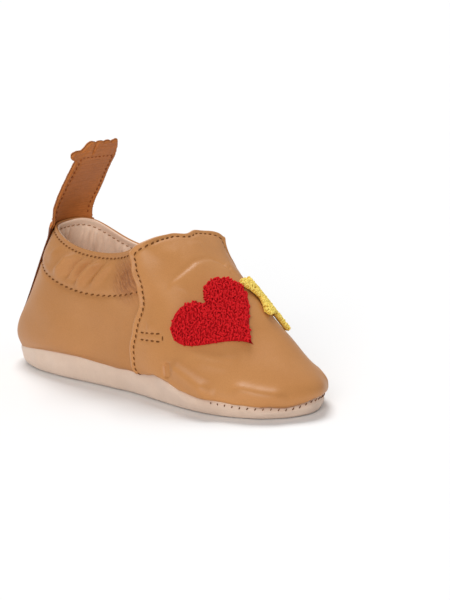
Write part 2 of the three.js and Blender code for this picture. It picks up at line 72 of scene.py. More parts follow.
# Sections from heel to toe for each level: place along, outer and inner half width, rise, fall.
LEVELS = [
    [(-0.505, 0, 0, 0.61, 0), (-0.457, 0.27, 0.27, 0.72, 0), (-0.284, 0.414, 0.398, 1.033, 0),
     (-0.03, 0.424, 0.384, 0.989, 0), (0.187, 0.504, 0.48, 0.656, 0), (0.382, 0.41, 0.32, 0.467, 0),
     (0.464, 0.05, 0.05, 0.66, 0)],
    [(-0.514, 0, 0, 0.138, 0), (-0.467, 0.282, 0.282, 0.118, 0), (-0.284, 0.457, 0.44, 0.068, 0),
     (-0.03, 0.465, 0.43, 0.075, 0), (0.187, 0.552, 0.51, 0.083, 0), (0.376, 0.43, 0.3, 0.092, 0),
     (0.461, 0.05, 0.05, 0.097, 0)],
    [(-0.489, 0, 0, 0.314, 0), (-0.444, 0.276, 0.276, 0.298, 0), (-0.276, 0.453, 0.43, 0.261, 0),
     (-0.03, 0.465, 0.43, 0.27, 0), (0.16, 0.5, 0.445, 0.285, 0), (0.315, 0.32, 0.21, 0.305, 0),
     (0.369, 0.02, 0.02, 0.28, 0)],
    [(-0.456, 0, 0, 0.56, 0), (-0.409, 0.251, 0.251, 0.55, 0), (-0.265, 0.414, 0.388, 0.52, 0),
     (-0.037, 0.445, 0.41, 0.524, 0), (0.1, 0.449, 0.39, 0.537, 0), (0.206, 0.286, 0.19, 0.571, 0),
     (0.259, 0.01, 0.01, 0.542, 0)],
    [(-0.423, 0, 0, 0.787, 0), (-0.379, 0.229, 0.229, 0.782, 0), (-0.246, 0.373, 0.343, 0.725, 0.053),
     (-0.06, 0.404, 0.371, 0.73, 0.025), (0.043, 0.435, 0.365, 0.758, 0.032),
     (0.108, 0.245, 0.175, 0.821, 0.02), (0.14, 0.01, 0.01, 0.784, 0)],
    [(-0.388, 0, 0, 1, 0), (-0.35, 0.204, 0.204, 0.98, 0), (-0.229, 0.333, 0.292, 0.89, 0.074),
     (-0.075, 0.367, 0.337, 0.9, 0.057), (0.019, 0.414, 0.39, 0.95, 0.063),
     (0.035, 0.224, 0.235, 0.985, 0.046), (0.037, -0.02, -0.02, 0.98, 0)],
]
BALL_ROW = 4

# The vamp's back edge: height as a share of the instep height, place along as one of the length.
LAP_EDGE = [(0.1, 0.045), (0.22, 0.024), (0.34, 0.019), (0.44, 0.026), (0.6, 0.041), (0.69, 0.034),
            (0.82, 0.012), (0.92, 0.0)]
# The free part of the pull tab: ahead of the collar's back edge, above it, and roundness left.
TAB_PATH = [(0, 0, 1), (0.052, 0.099, 0.5), (0.116, 0.188, 0.25), (0.183, 0.277, 0.1),
            (0.25, 0.366, 0), (0.285, 0.416, 0)]
# The sole's side from the seam line down: inset as a share of the tread's, height as one of the seam's.
SOLE_SIDE = [(0, 1), (-0.15, 0.62), (0.05, 0.28), (0.36, 0.09), (1, 0)]

# Ahead of the waist the seam keeps its height for a while: place, half width, lift, fade in height.
FLANK_AT, FLANK_HALF, FLANK_LIFT, FLANK_FADE = 0.1, 0.085, 0.21, 0.35

# The patches on the vamp: place t and v of their middle, and turn.
HEART_PLACE = (0.424, 0.563, 0.25)
STAR_PLACE = (0.586, 0.565, 0.0)

INSOLE_THICKNESS = 1.8
INSOLE_INSET = 3.8

SPLINE_PASSES = 60
rng = np.random.default_rng(7)


# ---- the shoe's surface

def lerp(a, b, x):
    return a + (b - a) * x


def smooth(x, low, high):
    x = np.clip((np.asarray(x, float) - low) / (high - low), 0, 1)
    return x * x * (3 - 2 * x)


def bump(x, width):
    """One at zero, falling off to nothing at about two widths."""
    return np.exp(-((np.asarray(x, float) / width) ** 2))


def unit(a):
    return a / np.maximum(np.linalg.norm(a, axis=-1, keepdims=True), 1e-9)


def closed_controls(values):
    c = values.copy()
    for _ in range(SPLINE_PASSES):
        c = (6 * values - np.roll(c, 1, 0) - np.roll(c, -1, 0)) / 4
    return c


def open_controls(values):
    c = values.copy()
    for _ in range(SPLINE_PASSES):
        c[1:-1] = ((6 * values[1:-1] - c[:-2] - c[2:]) / 4).copy()
    return np.concatenate([2 * c[:1] - c[1:2], c, 2 * c[-1:] - c[-2:-1]])


def weights(f):
    return np.stack([(1 - f) ** 3 / 6, (3 * f**3 - 6 * f**2 + 4) / 6,
                     (-3 * f**3 + 3 * f**2 + 3 * f + 1) / 6, f**3 / 6])


def level_ring(level, rows):
    seam = [row[3] * SEAM_HEIGHT for row in LEVELS[0]]

    def place(i, side):
        at, outer, inner, rise, fall = rows[i]
        top = HEEL_HEIGHT if i < BALL_ROW else INSTEP_HEIGHT
        up = rise - (fall if side > 0 else 0)
        z = seam[i] if level == 0 else lerp(seam[i], top, up)
        return at * LENGTH, (inner if side > 0 else -outer) * BALL_WIDTH, z

    last = len(rows) - 1
    return [place(i, -1) for i in range(last + 1)] + [place(i, 1) for i in range(last - 1, 0, -1)]


RINGS = np.array([level_ring(k, rows) for k, rows in enumerate(LEVELS)], float)
NET = open_controls(np.stack([closed_controls(ring) for ring in RINGS]))
ROUND = RINGS.shape[1]
RISES = RINGS.shape[0] - 1


def raw(t, v):
    """Points on the shoe's surface: t once round from the heel along the outer side, v up."""
    a = np.mod(t, 1) * ROUND
    i = np.floor(a).astype(int)
    wa = weights(a - i)
    b = v * RISES
    j = np.clip(np.floor(b), 0, RISES - 1).astype(int)
    wb = weights(b - j)
    p = 0
    for k in range(4):
        for m in range(4):
            p = p + (wa[k] * wb[m])[..., None] * NET[j + m, (i + k - 1) % ROUND]
    away = np.clip((p[..., 0] / LENGTH - FLANK_AT) / FLANK_HALF, -1, 1)
    lift = FLANK_LIFT * SEAM_HEIGHT * np.cos(away * np.pi / 2) ** 2 * (1 - smooth(v, 0, FLANK_FADE))
    return p + lift[..., None] * np.array([0, 0, 1.0])


def normal(t, v):
    step = 1e-3
    return unit(np.cross(raw(t + step, v) - raw(t - step, v), raw(t, v + step) - raw(t, v - step)))


def shoe(t, v, out=0.0):
    """Points some way out from the shoe's surface."""
    t, v = np.broadcast_arrays(np.asarray(t, float), np.asarray(v, float))
    return raw(t, v) + normal(t, v) * np.asarray(out, float)[..., None]


def solve(low, high, value):
    """Where a rising function is zero, between two bounds."""
    for _ in range(30):
        middle = (low + high) / 2
        less = value(middle) < 0
        low, high = np.where(less, middle, low), np.where(less, high, middle)
    return (low + high) / 2


def eased(table, x):
    """A table's value at x, passing softly from row to row."""
    xs, ys = zip(*table)
    k = np.clip(np.searchsorted(xs, x, side="right") - 1, 0, len(xs) - 2)
    a, b = np.take(xs, k), np.take(xs, k + 1)
    f = np.clip((x - a) / (b - a), 0, 1)
    return lerp(np.take(ys, k), np.take(ys, k + 1), f * f * (3 - 2 * f))


def ahead_of_lap(t):
    """How far points of the surface at the heights LAP_V lie ahead of the vamp's back edge."""
    p = raw(t, LAP_V)
    return p[:, 0] - eased(LAP_EDGE, p[:, 2] / INSTEP_HEIGHT) * LENGTH


LAP_V = np.linspace(-0.05, 1.05, 221)
LAP_T = solve(np.full(221, 0.2), np.full(221, 0.42), ahead_of_lap)


def lap_edge(v):
    """Place t of the vamp's edge on the outer side."""
    return np.interp(v, LAP_V, LAP_T)


def far_edge(v):
    """Place t of the vamp's edge on the inner side; in the tongue it lies further forward."""
    return 1 - lap_edge(v) - TONGUE_TURN * smooth(v, TURN_FROM, TURN_TO)


# Millimetres up the middle of the tongue for one of v.
CLIMB = float(np.linalg.norm(raw(np.array(0.5), np.array(1.0)) - raw(np.array(0.5), np.array(0.8))) / 0.2)


def tongue_edge(s):
    """Height v of the tongue's top edge, for a share s of the way across it."""
    s = np.asarray(s, float)
    notch = 1 - smooth(np.abs(s - NOTCH_AT), 0, NOTCH_HALF)
    corner = 1 - np.clip(np.minimum(s / OUTER_CORNER, (1 - s) / INNER_CORNER), 0, 1)
    return 1 - (TONGUE_NOTCH * notch + TONGUE_CORNER * (1 - np.sqrt(1 - corner**2))) / CLIMB


LAP_TOP, FAR_TOP = float(lap_edge(1.0)), float(far_edge(1.0))


def upper_top(t):
    """Height v of the collar's edge, which passes under the tongue."""
    t = np.mod(t, 1)
    s = (t - LAP_TOP) / (FAR_TOP - LAP_TOP)
    under = tongue_edge(np.clip(s, 0, 1)) - TONGUE_OVER_LINING / CLIMB
    blend = smooth(np.minimum(s, 1 - s), 0, 0.06)
    return np.where((s <= 0) | (s >= 1), 1, np.minimum(1, lerp(1, under, blend)))


def path_way(points):
    """Length along a path up to each of its points."""
    steps = np.linalg.norm(np.diff(points, axis=-2), axis=-1)
    return np.concatenate([0 * steps[..., :1], np.cumsum(steps, -1)], -1)


def at_way(s, way, points):
    """Points a length s along a path, or other values that go with its points."""
    return np.stack([np.interp(s, way, column) for column in np.transpose(points)], -1)


def way_down(t, vs):
    """Length down the surface from the collar's edge to heights vs, for each place t."""
    return path_way(raw(t[:, None] + 0 * vs, vs + 0 * t[:, None]))


def down_from_rim(t, depth):
    """Height v that lies some way down the surface from the collar's edge."""
    vs = np.linspace(1, 0.3, 80)
    return np.array([np.interp(depth, way, vs) for way in way_down(t, vs)])


def rim_depth(t, v):
    """Way down the surface from the collar's edge to rows of heights v, one row for each t."""
    vs = np.linspace(1, 0, 60)
    return np.stack([np.interp(-row, -vs, way) for row, way in zip(v, way_down(t, vs))])


def nearest(points, path):
    """Distance of each point to a path, and the place along it."""
    flat = points.reshape(-1, 3)
    near = np.full(len(flat), 1e9)
    which = np.zeros(len(flat), int)
    for k in range(0, len(flat), 4000):
        d = np.linalg.norm(flat[k:k + 4000, None] - path[None], axis=2)
        which[k:k + 4000] = d.argmin(1)
        near[k:k + 4000] = d.min(1)
    return near.reshape(points.shape[:-1]), which.reshape(points.shape[:-1])


def laid(points, surface, outward):
    """Points moved along a surface's outward way until they lie on it, for a grid of its points."""
    flat, ways = surface.reshape(-1, 3), outward.reshape(-1, 3)
    tree = KDTree(len(flat))
    for k, p in enumerate(flat):
        tree.insert(p, k)
    tree.balance()
    result, normals = [], []
    for p in points:
        found = tree.find_n(p, 4)
        i = [f[1] for f in found]
        share = 1 / (np.array([f[2] for f in found]) + 0.05)
        share = share / share.sum()
        n = unit((ways[i] * share[:, None]).sum(0))
        result.append(p - n * (share @ ((p - flat[i]) @ n)))
        normals.append(n)
    return np.array(result), np.array(normals)


# ---- meshes

def add_object(name, verts, faces, slot, material, smooth_faces=True):
    mesh = bpy.data.meshes.new(name)
    mesh.from_pydata((np.asarray(verts) * MM).tolist(), [], faces)
    mesh.validate()
    obj = bpy.data.objects.new(name, mesh)
    bpy.context.scene.collection.objects.link(obj)
    mesh.materials.append(material)
    if smooth_faces:
        mesh.polygons.foreach_set("use_smooth", [True] * len(mesh.polygons))
    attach(obj, "root")
    return obj


def skin(outer, inner, closed, roll=5):
    """Thin closed body between two grids of points, with round edges."""
    cols, rows = outer.shape[:2]
    verts = [outer.reshape(-1, 3), inner.reshape(-1, 3)]
    faces = []
    base = cols * rows
    last = cols if closed else cols - 1
    for i in range(last):
        m = (i + 1) % cols
        for j in range(rows - 1):
            a, b, c, d = i * rows + j, m * rows + j, m * rows + j + 1, i * rows + j + 1
            faces.append((a, b, c, d))
            faces.append((base + a, base + d, base + c, base + b))
    if closed:
        loops = [([(i, rows - 1) for i in range(cols)], [(i, rows - 2) for i in range(cols)], True),
                 ([(i, 0) for i in range(cols)], [(i, 1) for i in range(cols)], False)]
    else:
        edge = ([(i, 0) for i in range(cols)] + [(cols - 1, j) for j in range(1, rows)]
                + [(i, rows - 1) for i in range(cols - 2, -1, -1)] + [(0, j) for j in range(rows - 2, 0, -1)])
        within = [(min(max(i, 1), cols - 2), min(max(j, 1), rows - 2)) for i, j in edge]
        loops = [(edge, within, False)]
    count = 2 * base
    for edge, within, flip in loops:
        o = np.array([outer[i, j] for i, j in edge])
        n = np.array([inner[i, j] for i, j in edge])
        w = np.array([(outer[i, j] + inner[i, j]) / 2 for i, j in within])
        middle = (o + n) / 2
        half = (o - n) / 2
        away = unit(middle - w) * np.linalg.norm(half, axis=1, keepdims=True)
        rings = [[i * rows + j for i, j in edge]]
        for k in range(1, roll):
            a = math.pi * k / roll
            verts.append(middle + half * math.cos(a) + away * math.sin(a))
            rings.append(list(range(count, count + len(edge))))
            count += len(edge)
        rings.append([base + i * rows + j for i, j in edge])
        for first, second in zip(rings, rings[1:]):
            for i in range(len(edge)):
                m = (i + 1) % len(edge)
                quad = (first[m], first[i], second[i], second[m])
                faces.append(quad[::-1] if flip else quad)
    return np.concatenate(verts), faces


def tube_faces(start, rings, sides):
    """Outward faces of a closed tube of rings, whose first point has the number start."""
    quads = [[start + k * sides + c, start + k * sides + (c + 1) % sides,
              start + (k + 1) * sides + (c + 1) % sides, start + (k + 1) * sides + c]
             for k in range(rings - 1) for c in range(sides)]
    last = start + (rings - 1) * sides
    return [*quads, range(start + sides - 1, start - 1, -1), range(last, last + sides)]


# A stitch's rings from end to end: place along it, width, and height above its path.
STITCH = [(-1, 0.35, -0.55), (-0.72, 0.85, -0.05), (0, 1, 0.3), (0.72, 0.85, -0.05), (1, 0.35, -0.55)]


def stitches(name, rows, material, thick):
    """Short rounded threads along paths. Each row: points, normals, pitch, length, slant, lift."""
    sides = 6
    ring = [(math.cos(2 * math.pi * k / sides), math.sin(2 * math.pi * k / sides)) for k in range(sides)]
    verts, faces = [], []
    for points, normals, pitch, size, slant, lift in rows:
        way = path_way(points)
        count = max(1, int(round(way[-1] / pitch)))
        for k in range(count):
            s = (k + 0.5) * way[-1] / count
            p, before, after = (at_way(x, way, points) for x in (s, s - 0.3, s + 0.3))
            n = unit(at_way(s, way, normals))
            t = after - before
            t = unit(t - n * (t @ n))
            turn = slant + rng.normal(0, 0.05)
            t = t * math.cos(turn) + np.cross(n, t) * math.sin(turn)
            side = np.cross(n, t)
            faces += tube_faces(len(verts), len(STITCH), sides)
            for x, wide, high in STITCH:
                centre = p + t * (x * size / 2) + n * (lift + high * thick)
                for c, u in ring:
                    verts.append(centre + side * (c * wide * thick) + n * (u * wide * thick * 0.8))
    return add_object(name, verts, faces, "tab_leather", material)


def groove(points, paths, deep, wide):
    """How far the leather is pulled in along rows of stitches."""
    return -np.max([deep * bump(nearest(points, path)[0], wide) for path in paths], 0)


def uneven(points, wave, deep, seed):
    """Soft random hills and hollows, about one wave apart."""
    own = np.random.default_rng(seed)
    total = np.zeros(points.shape[:-1])
    for _ in range(14):
        way = unit(own.normal(size=3)) * 2 * np.pi / (wave * own.uniform(0.7, 1.6))
        total += np.sin(points @ way + own.uniform(0, 2 * np.pi))
    return total * deep / 3.7


def fine_path(places, n=60):
    """Evenly spaced t and v along a smooth line through a few places."""
    p = np.array(places, float)
    if len(p) > 2:
        p = rounded(p, 12)
    return at_way(np.linspace(0, len(p) - 1, n), range(len(p)), p)


def fading(which, count, ends):
    """One in the middle of a line of points, falling to nothing over a share of it at its ends."""
    along = which / (count - 1)
    return smooth(along, 0, ends) * (1 - smooth(along, 1 - ends, 1))


def fold(points, places, high, wide, out):
    """A ridge, or with a negative height a crease, along a line on the surface that fades at its ends."""
    line = fine_path(places)
    near, which = nearest(points, shoe(*line.T, out))
    return high * bump(near, wide) * fading(which, len(line), 0.25)


def curved(a, b, c, d, f):
    """A point between b and c on a smooth curve through four points, for a share f of the way."""
    return 0.5 * (2 * b + (c - a) * f + (2 * a - 5 * b + 4 * c - d) * f**2 + (3 * b - a - 3 * c + d) * f**3)


def rounded(points, n=5):
    """A finer line through points, curved between them."""
    p = np.array(points, float)
    q = np.vstack([2 * p[0] - p[1], p, 2 * p[-1] - p[-2]])
    return np.array([curved(*q[k:k + 4], f) for k in range(len(p) - 1) for f in np.arange(n) / n] + [p[-1]])


# ---- materials

def set_inputs(tree, node, inputs):
    """Gives a node's inputs their values, or links them to other nodes' outputs."""
    for key, value in inputs.items():
        if isinstance(value, bpy.types.NodeSocket):
            tree.links.new(value, node.inputs[key])
        else:
            node.inputs[key].default_value = value


def add_node(tree, kind, inputs, **settings):
    node = tree.nodes.new("ShaderNode" + kind)
    for key, value in settings.items():
        setattr(node, key, value)
    set_inputs(tree, node, inputs)
    return node


def node_material(name):
    material = bpy.data.materials.new(name)
    material.use_nodes = True
    tree = material.node_tree
    tree.nodes.clear()
    shader = add_node(tree, "BsdfPrincipled", {})
    add_node(tree, "OutputMaterial", {"Surface": shader.outputs[0]})
    return material, tree, shader, add_node(tree, "TexCoord", {}).outputs["Object"]


def noise(tree, place, size, detail=3, rough=0.55):
    inputs = {"Vector": place, "Scale": 1 / (size * MM), "Detail": detail, "Roughness": rough}
    return add_node(tree, "TexNoise", inputs).outputs["Fac"]


def stretched(tree, place, scale, turn=(0, 0, 0)):
    return add_node(tree, "Mapping", {"Vector": place, "Scale": scale, "Rotation": turn}).outputs[0]


def ramp(tree, value, stops):
    node = add_node(tree, "ValToRGB", {0: value})
    for element, (at, colour) in zip(node.color_ramp.elements, stops):
        element.position = at
        element.color = (*colour, 1)
    return node.outputs[0]


def to_range(tree, value, low, high, start, end):
    """Maps values from start to end on values from low to high."""
    inputs = {"Value": value, "From Min": start, "From Max": end, "To Min": low, "To Max": high}
    return add_node(tree, "MapRange", inputs).outputs[0]


def math_node(tree, kind, a, b):
    return add_node(tree, "Math", {0: a, 1: b}, operation=kind).outputs[0]


def summed(tree, a, share_a, b, share_b):
    parts = (math_node(tree, "MULTIPLY", *pair) for pair in ((a, share_a), (b, share_b)))
    return math_node(tree, "ADD", *parts)


def bumped(tree, shader, height, depth, strength=1.0):
    """Adds a bump to those that a shader has."""
    inputs = {"Strength": strength, "Distance": depth * MM, "Height": height}
    for link in shader.inputs["Normal"].links:
        inputs["Normal"] = link.from_socket
    set_inputs(tree, shader, {"Normal": add_node(tree, "Bump", inputs).outputs[0]})


def near_place(tree, place, at, low, high):
    """One within some distance of a place given in millimetres, falling to nothing further out."""
    away = add_node(tree, "VectorMath", {0: place, 1: [x * MM for x in at]}, operation="DISTANCE")
    return to_range(tree, away.outputs["Value"], 1, 0, low * MM, high * MM)


def darkened(tree, share, tone, by):
    """A tone multiplied with another for a share."""
    inputs = {"Factor": share, 6: tone, 7: by}
    return add_node(tree, "Mix", inputs, data_type="RGBA", blend_type="MULTIPLY").outputs[2]


def leather(name, light, dark, rough=(0.4, 0.52), grain=0.55, pit=0.05, sheen=0.0, lines=0.0, wrinkles_and_shade=(),
            shine=0.3):
    """Grained leather: soft clouds of tone, pores in a cell pattern, and a satin finish.

    wrinkles_and_shade lists places with fine slanting wrinkles and painted shade, a darker and redder tone:
    centre, inner and outer radius."""
    material, tree, shader, place = node_material(name)
    clouds = noise(tree, place, 16, 4, 0.5)
    tone = ramp(tree, clouds, [(0.3, dark), (0.7, light)])
    fine = noise(tree, place, 0.32, 2)
    tone = darkened(tree, 0.3, tone, ramp(tree, fine, [(0.25, (0.72, 0.66, 0.6)), (0.6, (1, 1, 1))]))
    cells = add_node(tree, "TexVoronoi", {"Vector": place, "Scale": 1 / (grain * MM)}, feature="SMOOTH_F1")
    bumped(tree, shader, summed(tree, cells.outputs["Distance"], 0.6, fine, 0.5), pit)
    bumped(tree, shader, noise(tree, place, 2.4, 5, 0.65), 0.12, 0.5)
    if lines:
        across = noise(tree, stretched(tree, place, (0.5, 0.06, 1)), 0.42, 3, 0.6)
        tone = darkened(tree, 0.6, tone, ramp(tree, across, [(0.32, (0.7, 0.66, 0.6)), (0.6, (1, 1, 1))]))
        bumped(tree, shader, across, lines)
    for centre, low, high in wrinkles_and_shade:
        mask = near_place(tree, place, centre, low, high)
        leaning = stretched(tree, place, (1, 1, 1), (0, WRINKLE_LEAN, 0))
        streaks = noise(tree, stretched(tree, leaning, (1, 0.5, 0.2)), 0.62, 3, 0.55)
        bumped(tree, shader, math_node(tree, "MULTIPLY", mask, streaks), 0.6)
        # painted shade: over the mask the tone darkens and reddens
        shade = ramp(tree, streaks, [(0.38, (0.58, 0.44, 0.40)), (0.62, (0.90, 0.80, 0.78))])
        tone = darkened(tree, math_node(tree, "MULTIPLY", mask, 0.9), tone, shade)
    set_inputs(tree, shader, {"Base Color": tone, "Roughness": to_range(tree, clouds, *rough, 0.3, 0.7),
                              "Specular IOR Level": shine, "Sheen Weight": sheen, "Sheen Roughness": 0.5})
    return material


def suede(name, light, dark, fibre=0.3, deep=0.1, sheen=0.25):
    """Brushed suede: a matt nap with slightly darker strokes."""
    material, tree, shader, place = node_material(name)
    nap = noise(tree, place, fibre, 4, 0.7)
    both = summed(tree, noise(tree, place, 9, 5, 0.6), 0.6, nap, 0.4)
    bumped(tree, shader, nap, deep)
    tone = ramp(tree, both, [(0.35, dark), (0.62, light)])
    set_inputs(tree, shader, {"Base Color": tone, "Roughness": 0.92, "Specular IOR Level": 0.2,
                              "Sheen Weight": sheen, "Sheen Roughness": 0.6})
    return material


def yarn(name, light, dark):
    """Matt thread or loops, with soft changes of tone."""
    material, tree, shader, place = node_material(name)
    tone = noise(tree, place, 1.1, 3, 0.6)
    bumped(tree, shader, noise(tree, place, 0.125, 2), 0.05)
    set_inputs(tree, shader, {"Base Color": ramp(tree, tone, [(0.3, dark), (0.62, light)]), "Roughness": 0.9,
                              "Specular IOR Level": 0.12})
    return material


WRINKLE_LEAN = 0.83
# Behind the vamp's edges the quarters bend with each step; the leather there is wrinkled, and darkened with
# painted shade.
BENT_AND_SHADED = [((-1.9, -21.2, 39.2), 2.5, 9.5), ((-1.9, 18.8, 39.2), 2.5, 9)]

TAN = leather("tan_leather", (0.505, 0.228, 0.077), (0.465, 0.202, 0.063), wrinkles_and_shade=BENT_AND_SHADED)
# A paler copy of the tan leather, painted as a highlight on the vamp's cut edge.
TAN_EDGE_HIGHLIGHT = leather("tan_edge_highlight", (0.66, 0.36, 0.19), (0.60, 0.31, 0.16), (0.6, 0.7), 0.4, 0.06)
VAMP_TAN = leather("tan_leather_front", (0.555, 0.249, 0.08), (0.51, 0.221, 0.068), (0.38, 0.47),
                   shine=0.36)
BROWN = leather("brown_leather", (0.54, 0.18, 0.044), (0.46, 0.147, 0.035), (0.5, 0.6), 0.5, 0.05, 0, 0.1,
                shine=0.2)
# A darker copy of the brown leather: painted shade for the strip where it lies on the heel.
BROWN_SHADED = leather("brown_leather_shaded", (0.24, 0.075, 0.025), (0.2, 0.06, 0.02), (0.5, 0.6), 0.5,
                     shine=0.2)
LINING = leather("lining_leather", (0.98, 0.76, 0.59), (0.93, 0.695, 0.53), (0.6, 0.7), 0.6, 0.03, 0.1)
SUEDE = suede("sole_suede_finish", (0.745, 0.57, 0.45), (0.66, 0.495, 0.385))
PADS = suede("grip_finish", (0.60, 0.41, 0.30), (0.55, 0.37, 0.27), 0.25, 0.03, 0.1)
THREAD = yarn("brown_thread", (0.20, 0.078, 0.023), (0.13, 0.046, 0.012))
TAB_THREAD = yarn("red_brown_thread", (0.28, 0.07, 0.016), (0.2, 0.045, 0.01))
FADED = yarn("pale_thread", (0.45, 0.24, 0.12), (0.34, 0.17, 0.08))
RED = yarn("red_yarn", (0.71, 0.014, 0.020), (0.52, 0.008, 0.012))
RED_BASE = yarn("red_base", (0.5, 0.007, 0.012), (0.42, 0.005, 0.008))
YELLOW = yarn("yellow_yarn", (0.98, 0.79, 0.20), (0.9, 0.66, 0.14))
YELLOW_BASE = yarn("yellow_base", (0.9, 0.6, 0.12), (0.82, 0.5, 0.08))

# ---- quarters: the tan back part, gathered under the collar

CASING = 14.2  # from the collar's edge down to the casing's lower row
TOP_ROW = 1.5  # from the collar's edge down to its row of stitches
UNDER_VAMP = 0.035  # share round the foot that the quarters go on under the vamp
SKIN = 0.75  # thickness of one leather

# Puffs of the casing on the outer side: place along the foot at mid depth, height, half width, reach.
PUFFS_OUTER = [(-42.0, 1.0, 2.3, 0.8), (-34.4, 2.5, 2.1, 0.97), (-29.9, -1.0, 0.7, 0.9),
               (-27.7, 1.6, 1.1, 0.85), (-25.0, -1.1, 0.7, 0.95), (-21.8, 2.5, 1.6, 1.0),
               (-18.6, -0.5, 0.9, 0.8), (-15.2, 1.6, 1.8, 0.92)]
PUFFS_INNER = [(-40.0, 0.6, 1.7, 0.9), (-34.5, 1.1, 1.6, 0.98), (-29.0, 0.8, 1.4, 0.9),
               (-23.6, 1.15, 1.7, 0.98), (-18.0, 0.8, 1.4, 0.9), (-13.0, 0.8, 1.6, 0.8),
               (-8.0, 0.3, 1.3, 0.7)]
PUFF_LEAN = 0.7  # how far a puff leans forwards on its way up, per millimetre


def gathers(p, depth):
    """Height of the casing's puffs at points, for their depth under the collar's edge."""
    high = np.zeros(p.shape[:-1])
    for puffs, side in ((PUFFS_OUTER, -1), (PUFFS_INNER, 1)):
        mine = smooth(side * p[..., 1], 2, 8)
        for at, amp, wide, reach in puffs:
            x = p[..., 0] - at + PUFF_LEAN * (depth - CASING / 2)
            end = CASING * reach
            window = smooth(depth, TOP_ROW, TOP_ROW + 4) * (1 - smooth(depth, end - 5, end))
            high += mine * amp * bump(x, wide) * window
    return high


# How much higher or lower than on the solids the leather ends over the suede: place t, millimetres.
SEAM_RISE = [(0, 0.2), (0.047, 0.1), (0.144, -0.3), (0.19, -0.5), (0.226, -1.05), (0.24, -1.1),
             (0.258, -0.4), (0.278, 0.1), (0.293, 0.4), (0.309, 1.2), (0.328, 1.5), (0.345, 1.0),
             (0.365, 0.7), (0.389, 0.85), (0.41, 0.45), (0.434, -0.3), (0.465, -1.5), (0.482, -1.4),
             (0.5, -0.7), (0.53, -0.1), (0.6, 0), (0.68, 0.8), (0.72, 0), (1, 0.2)]


def seam_shift(t):
    """The seam's rise at places t: as a height share where it is raised, in millimetres where lowered."""
    t = np.mod(t, 1)
    rise = eased(SEAM_RISE, t)
    climb = (raw(t, 0 * t + 0.03) - raw(t, 0 * t))[..., 2] / 0.03
    return np.maximum(rise, 0) / climb, np.minimum(rise, 0)


def lowered(points, t, v):
    """Points with the lowest leather pulled down where the seam is lower."""
    points = points.copy()
    points[..., 2] += seam_shift(t)[1] * (1 - smooth(v, 0, 0.35))
    return points


COLS, ROWS = 340, 110
AROUND = 290  # millimetres round the foot for one of t, about
share = np.linspace(-1, 1, COLS)
rim_t = share * (np.where(share > 0, LAP_TOP, 1 - FAR_TOP) + UNDER_VAMP)
foot_t = share * (float(lap_edge(0.0)) + UNDER_VAMP)
grid_v = lerp(seam_shift(foot_t)[0][:, None] - 0.02, upper_top(rim_t)[:, None],
              np.linspace(0, 1, ROWS)[None] ** 0.9)
grid_t = share[:, None] * (np.where(share[:, None] > 0, lap_edge(grid_v), 1 - far_edge(grid_v)) + UNDER_VAMP)
base = lowered(raw(grid_t, grid_v), grid_t, grid_v)
out = normal(grid_t, grid_v)
depth = np.hstack([rim_depth(grid_t[:, j], grid_v[:, j:j + 1]) for j in range(ROWS)])

row_t = np.linspace(FAR_TOP - 1 - 0.02, LAP_TOP + 0.02, 400)
top_v = down_from_rim(row_t, TOP_ROW)
low_v = down_from_rim(row_t, CASING)
top_path = shoe(row_t, top_v, 0)
low_path = shoe(row_t, low_v, 0)
high = gathers(base, depth)
high += 0.3 * np.sin(np.pi * np.clip(depth / CASING, 0, 1)) * smooth(depth, 0, CASING)
high += groove(base, [top_path], 0.35, 0.7) + groove(base, [low_path], 0.55, 0.9)
high += uneven(base, 13, 0.22, 3) * smooth(depth, 1, 6)
# Just behind the vamp's edge the quarters dip in under it.
from_edge = np.where(grid_t > 0, lap_edge(grid_v) - grid_t, grid_t + 1 - far_edge(grid_v)) * AROUND
high -= 1.2 * (1 - smooth(from_edge, -1.5, 6.5)) * smooth(depth, 1, 7)
high *= smooth(grid_v, 0, 0.05)
quarter_face = base + out * high[..., None]
quarters = add_object("quarters", *skin(quarter_face, base + out * (high * 0.5 - SKIN)[..., None], False),
                      "quarter_leather", TAN)
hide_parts("upper")

collar_half = (row_t < LAP_TOP - 0.004) & (row_t > FAR_TOP - 1 + 0.004)
heel_free = np.abs(raw(row_t, top_v)[:, 1]) > TAB_WIDTH / 2 + 0.4
thread_rows = []
for side in (-1, 1):
    for v_row, pitch, size in ((top_v, 2.0, 1.25), (low_v, 2.7, 1.6)):
        inside_lap = (row_t < lap_edge(v_row) - 0.003) & (row_t > far_edge(v_row) - 1 + 0.003)
        keep = (np.sign(row_t) == -side) & heel_free & inside_lap
        line = laid(raw(row_t[keep], v_row[keep]), quarter_face, out)
        thread_rows.append((*line, pitch, size, -0.3 * side, 0.05))
stitches("collar_stitches", thread_rows, THREAD, 0.25)

# ---- lining: the pale inside, gathered at the collar

LINING_COLS, LINING_ROWS, PLEATS = 320, 90, 46
lin_round = np.arange(LINING_COLS) / LINING_COLS
lin_t = np.broadcast_to(lin_round[:, None], (LINING_COLS, LINING_ROWS))
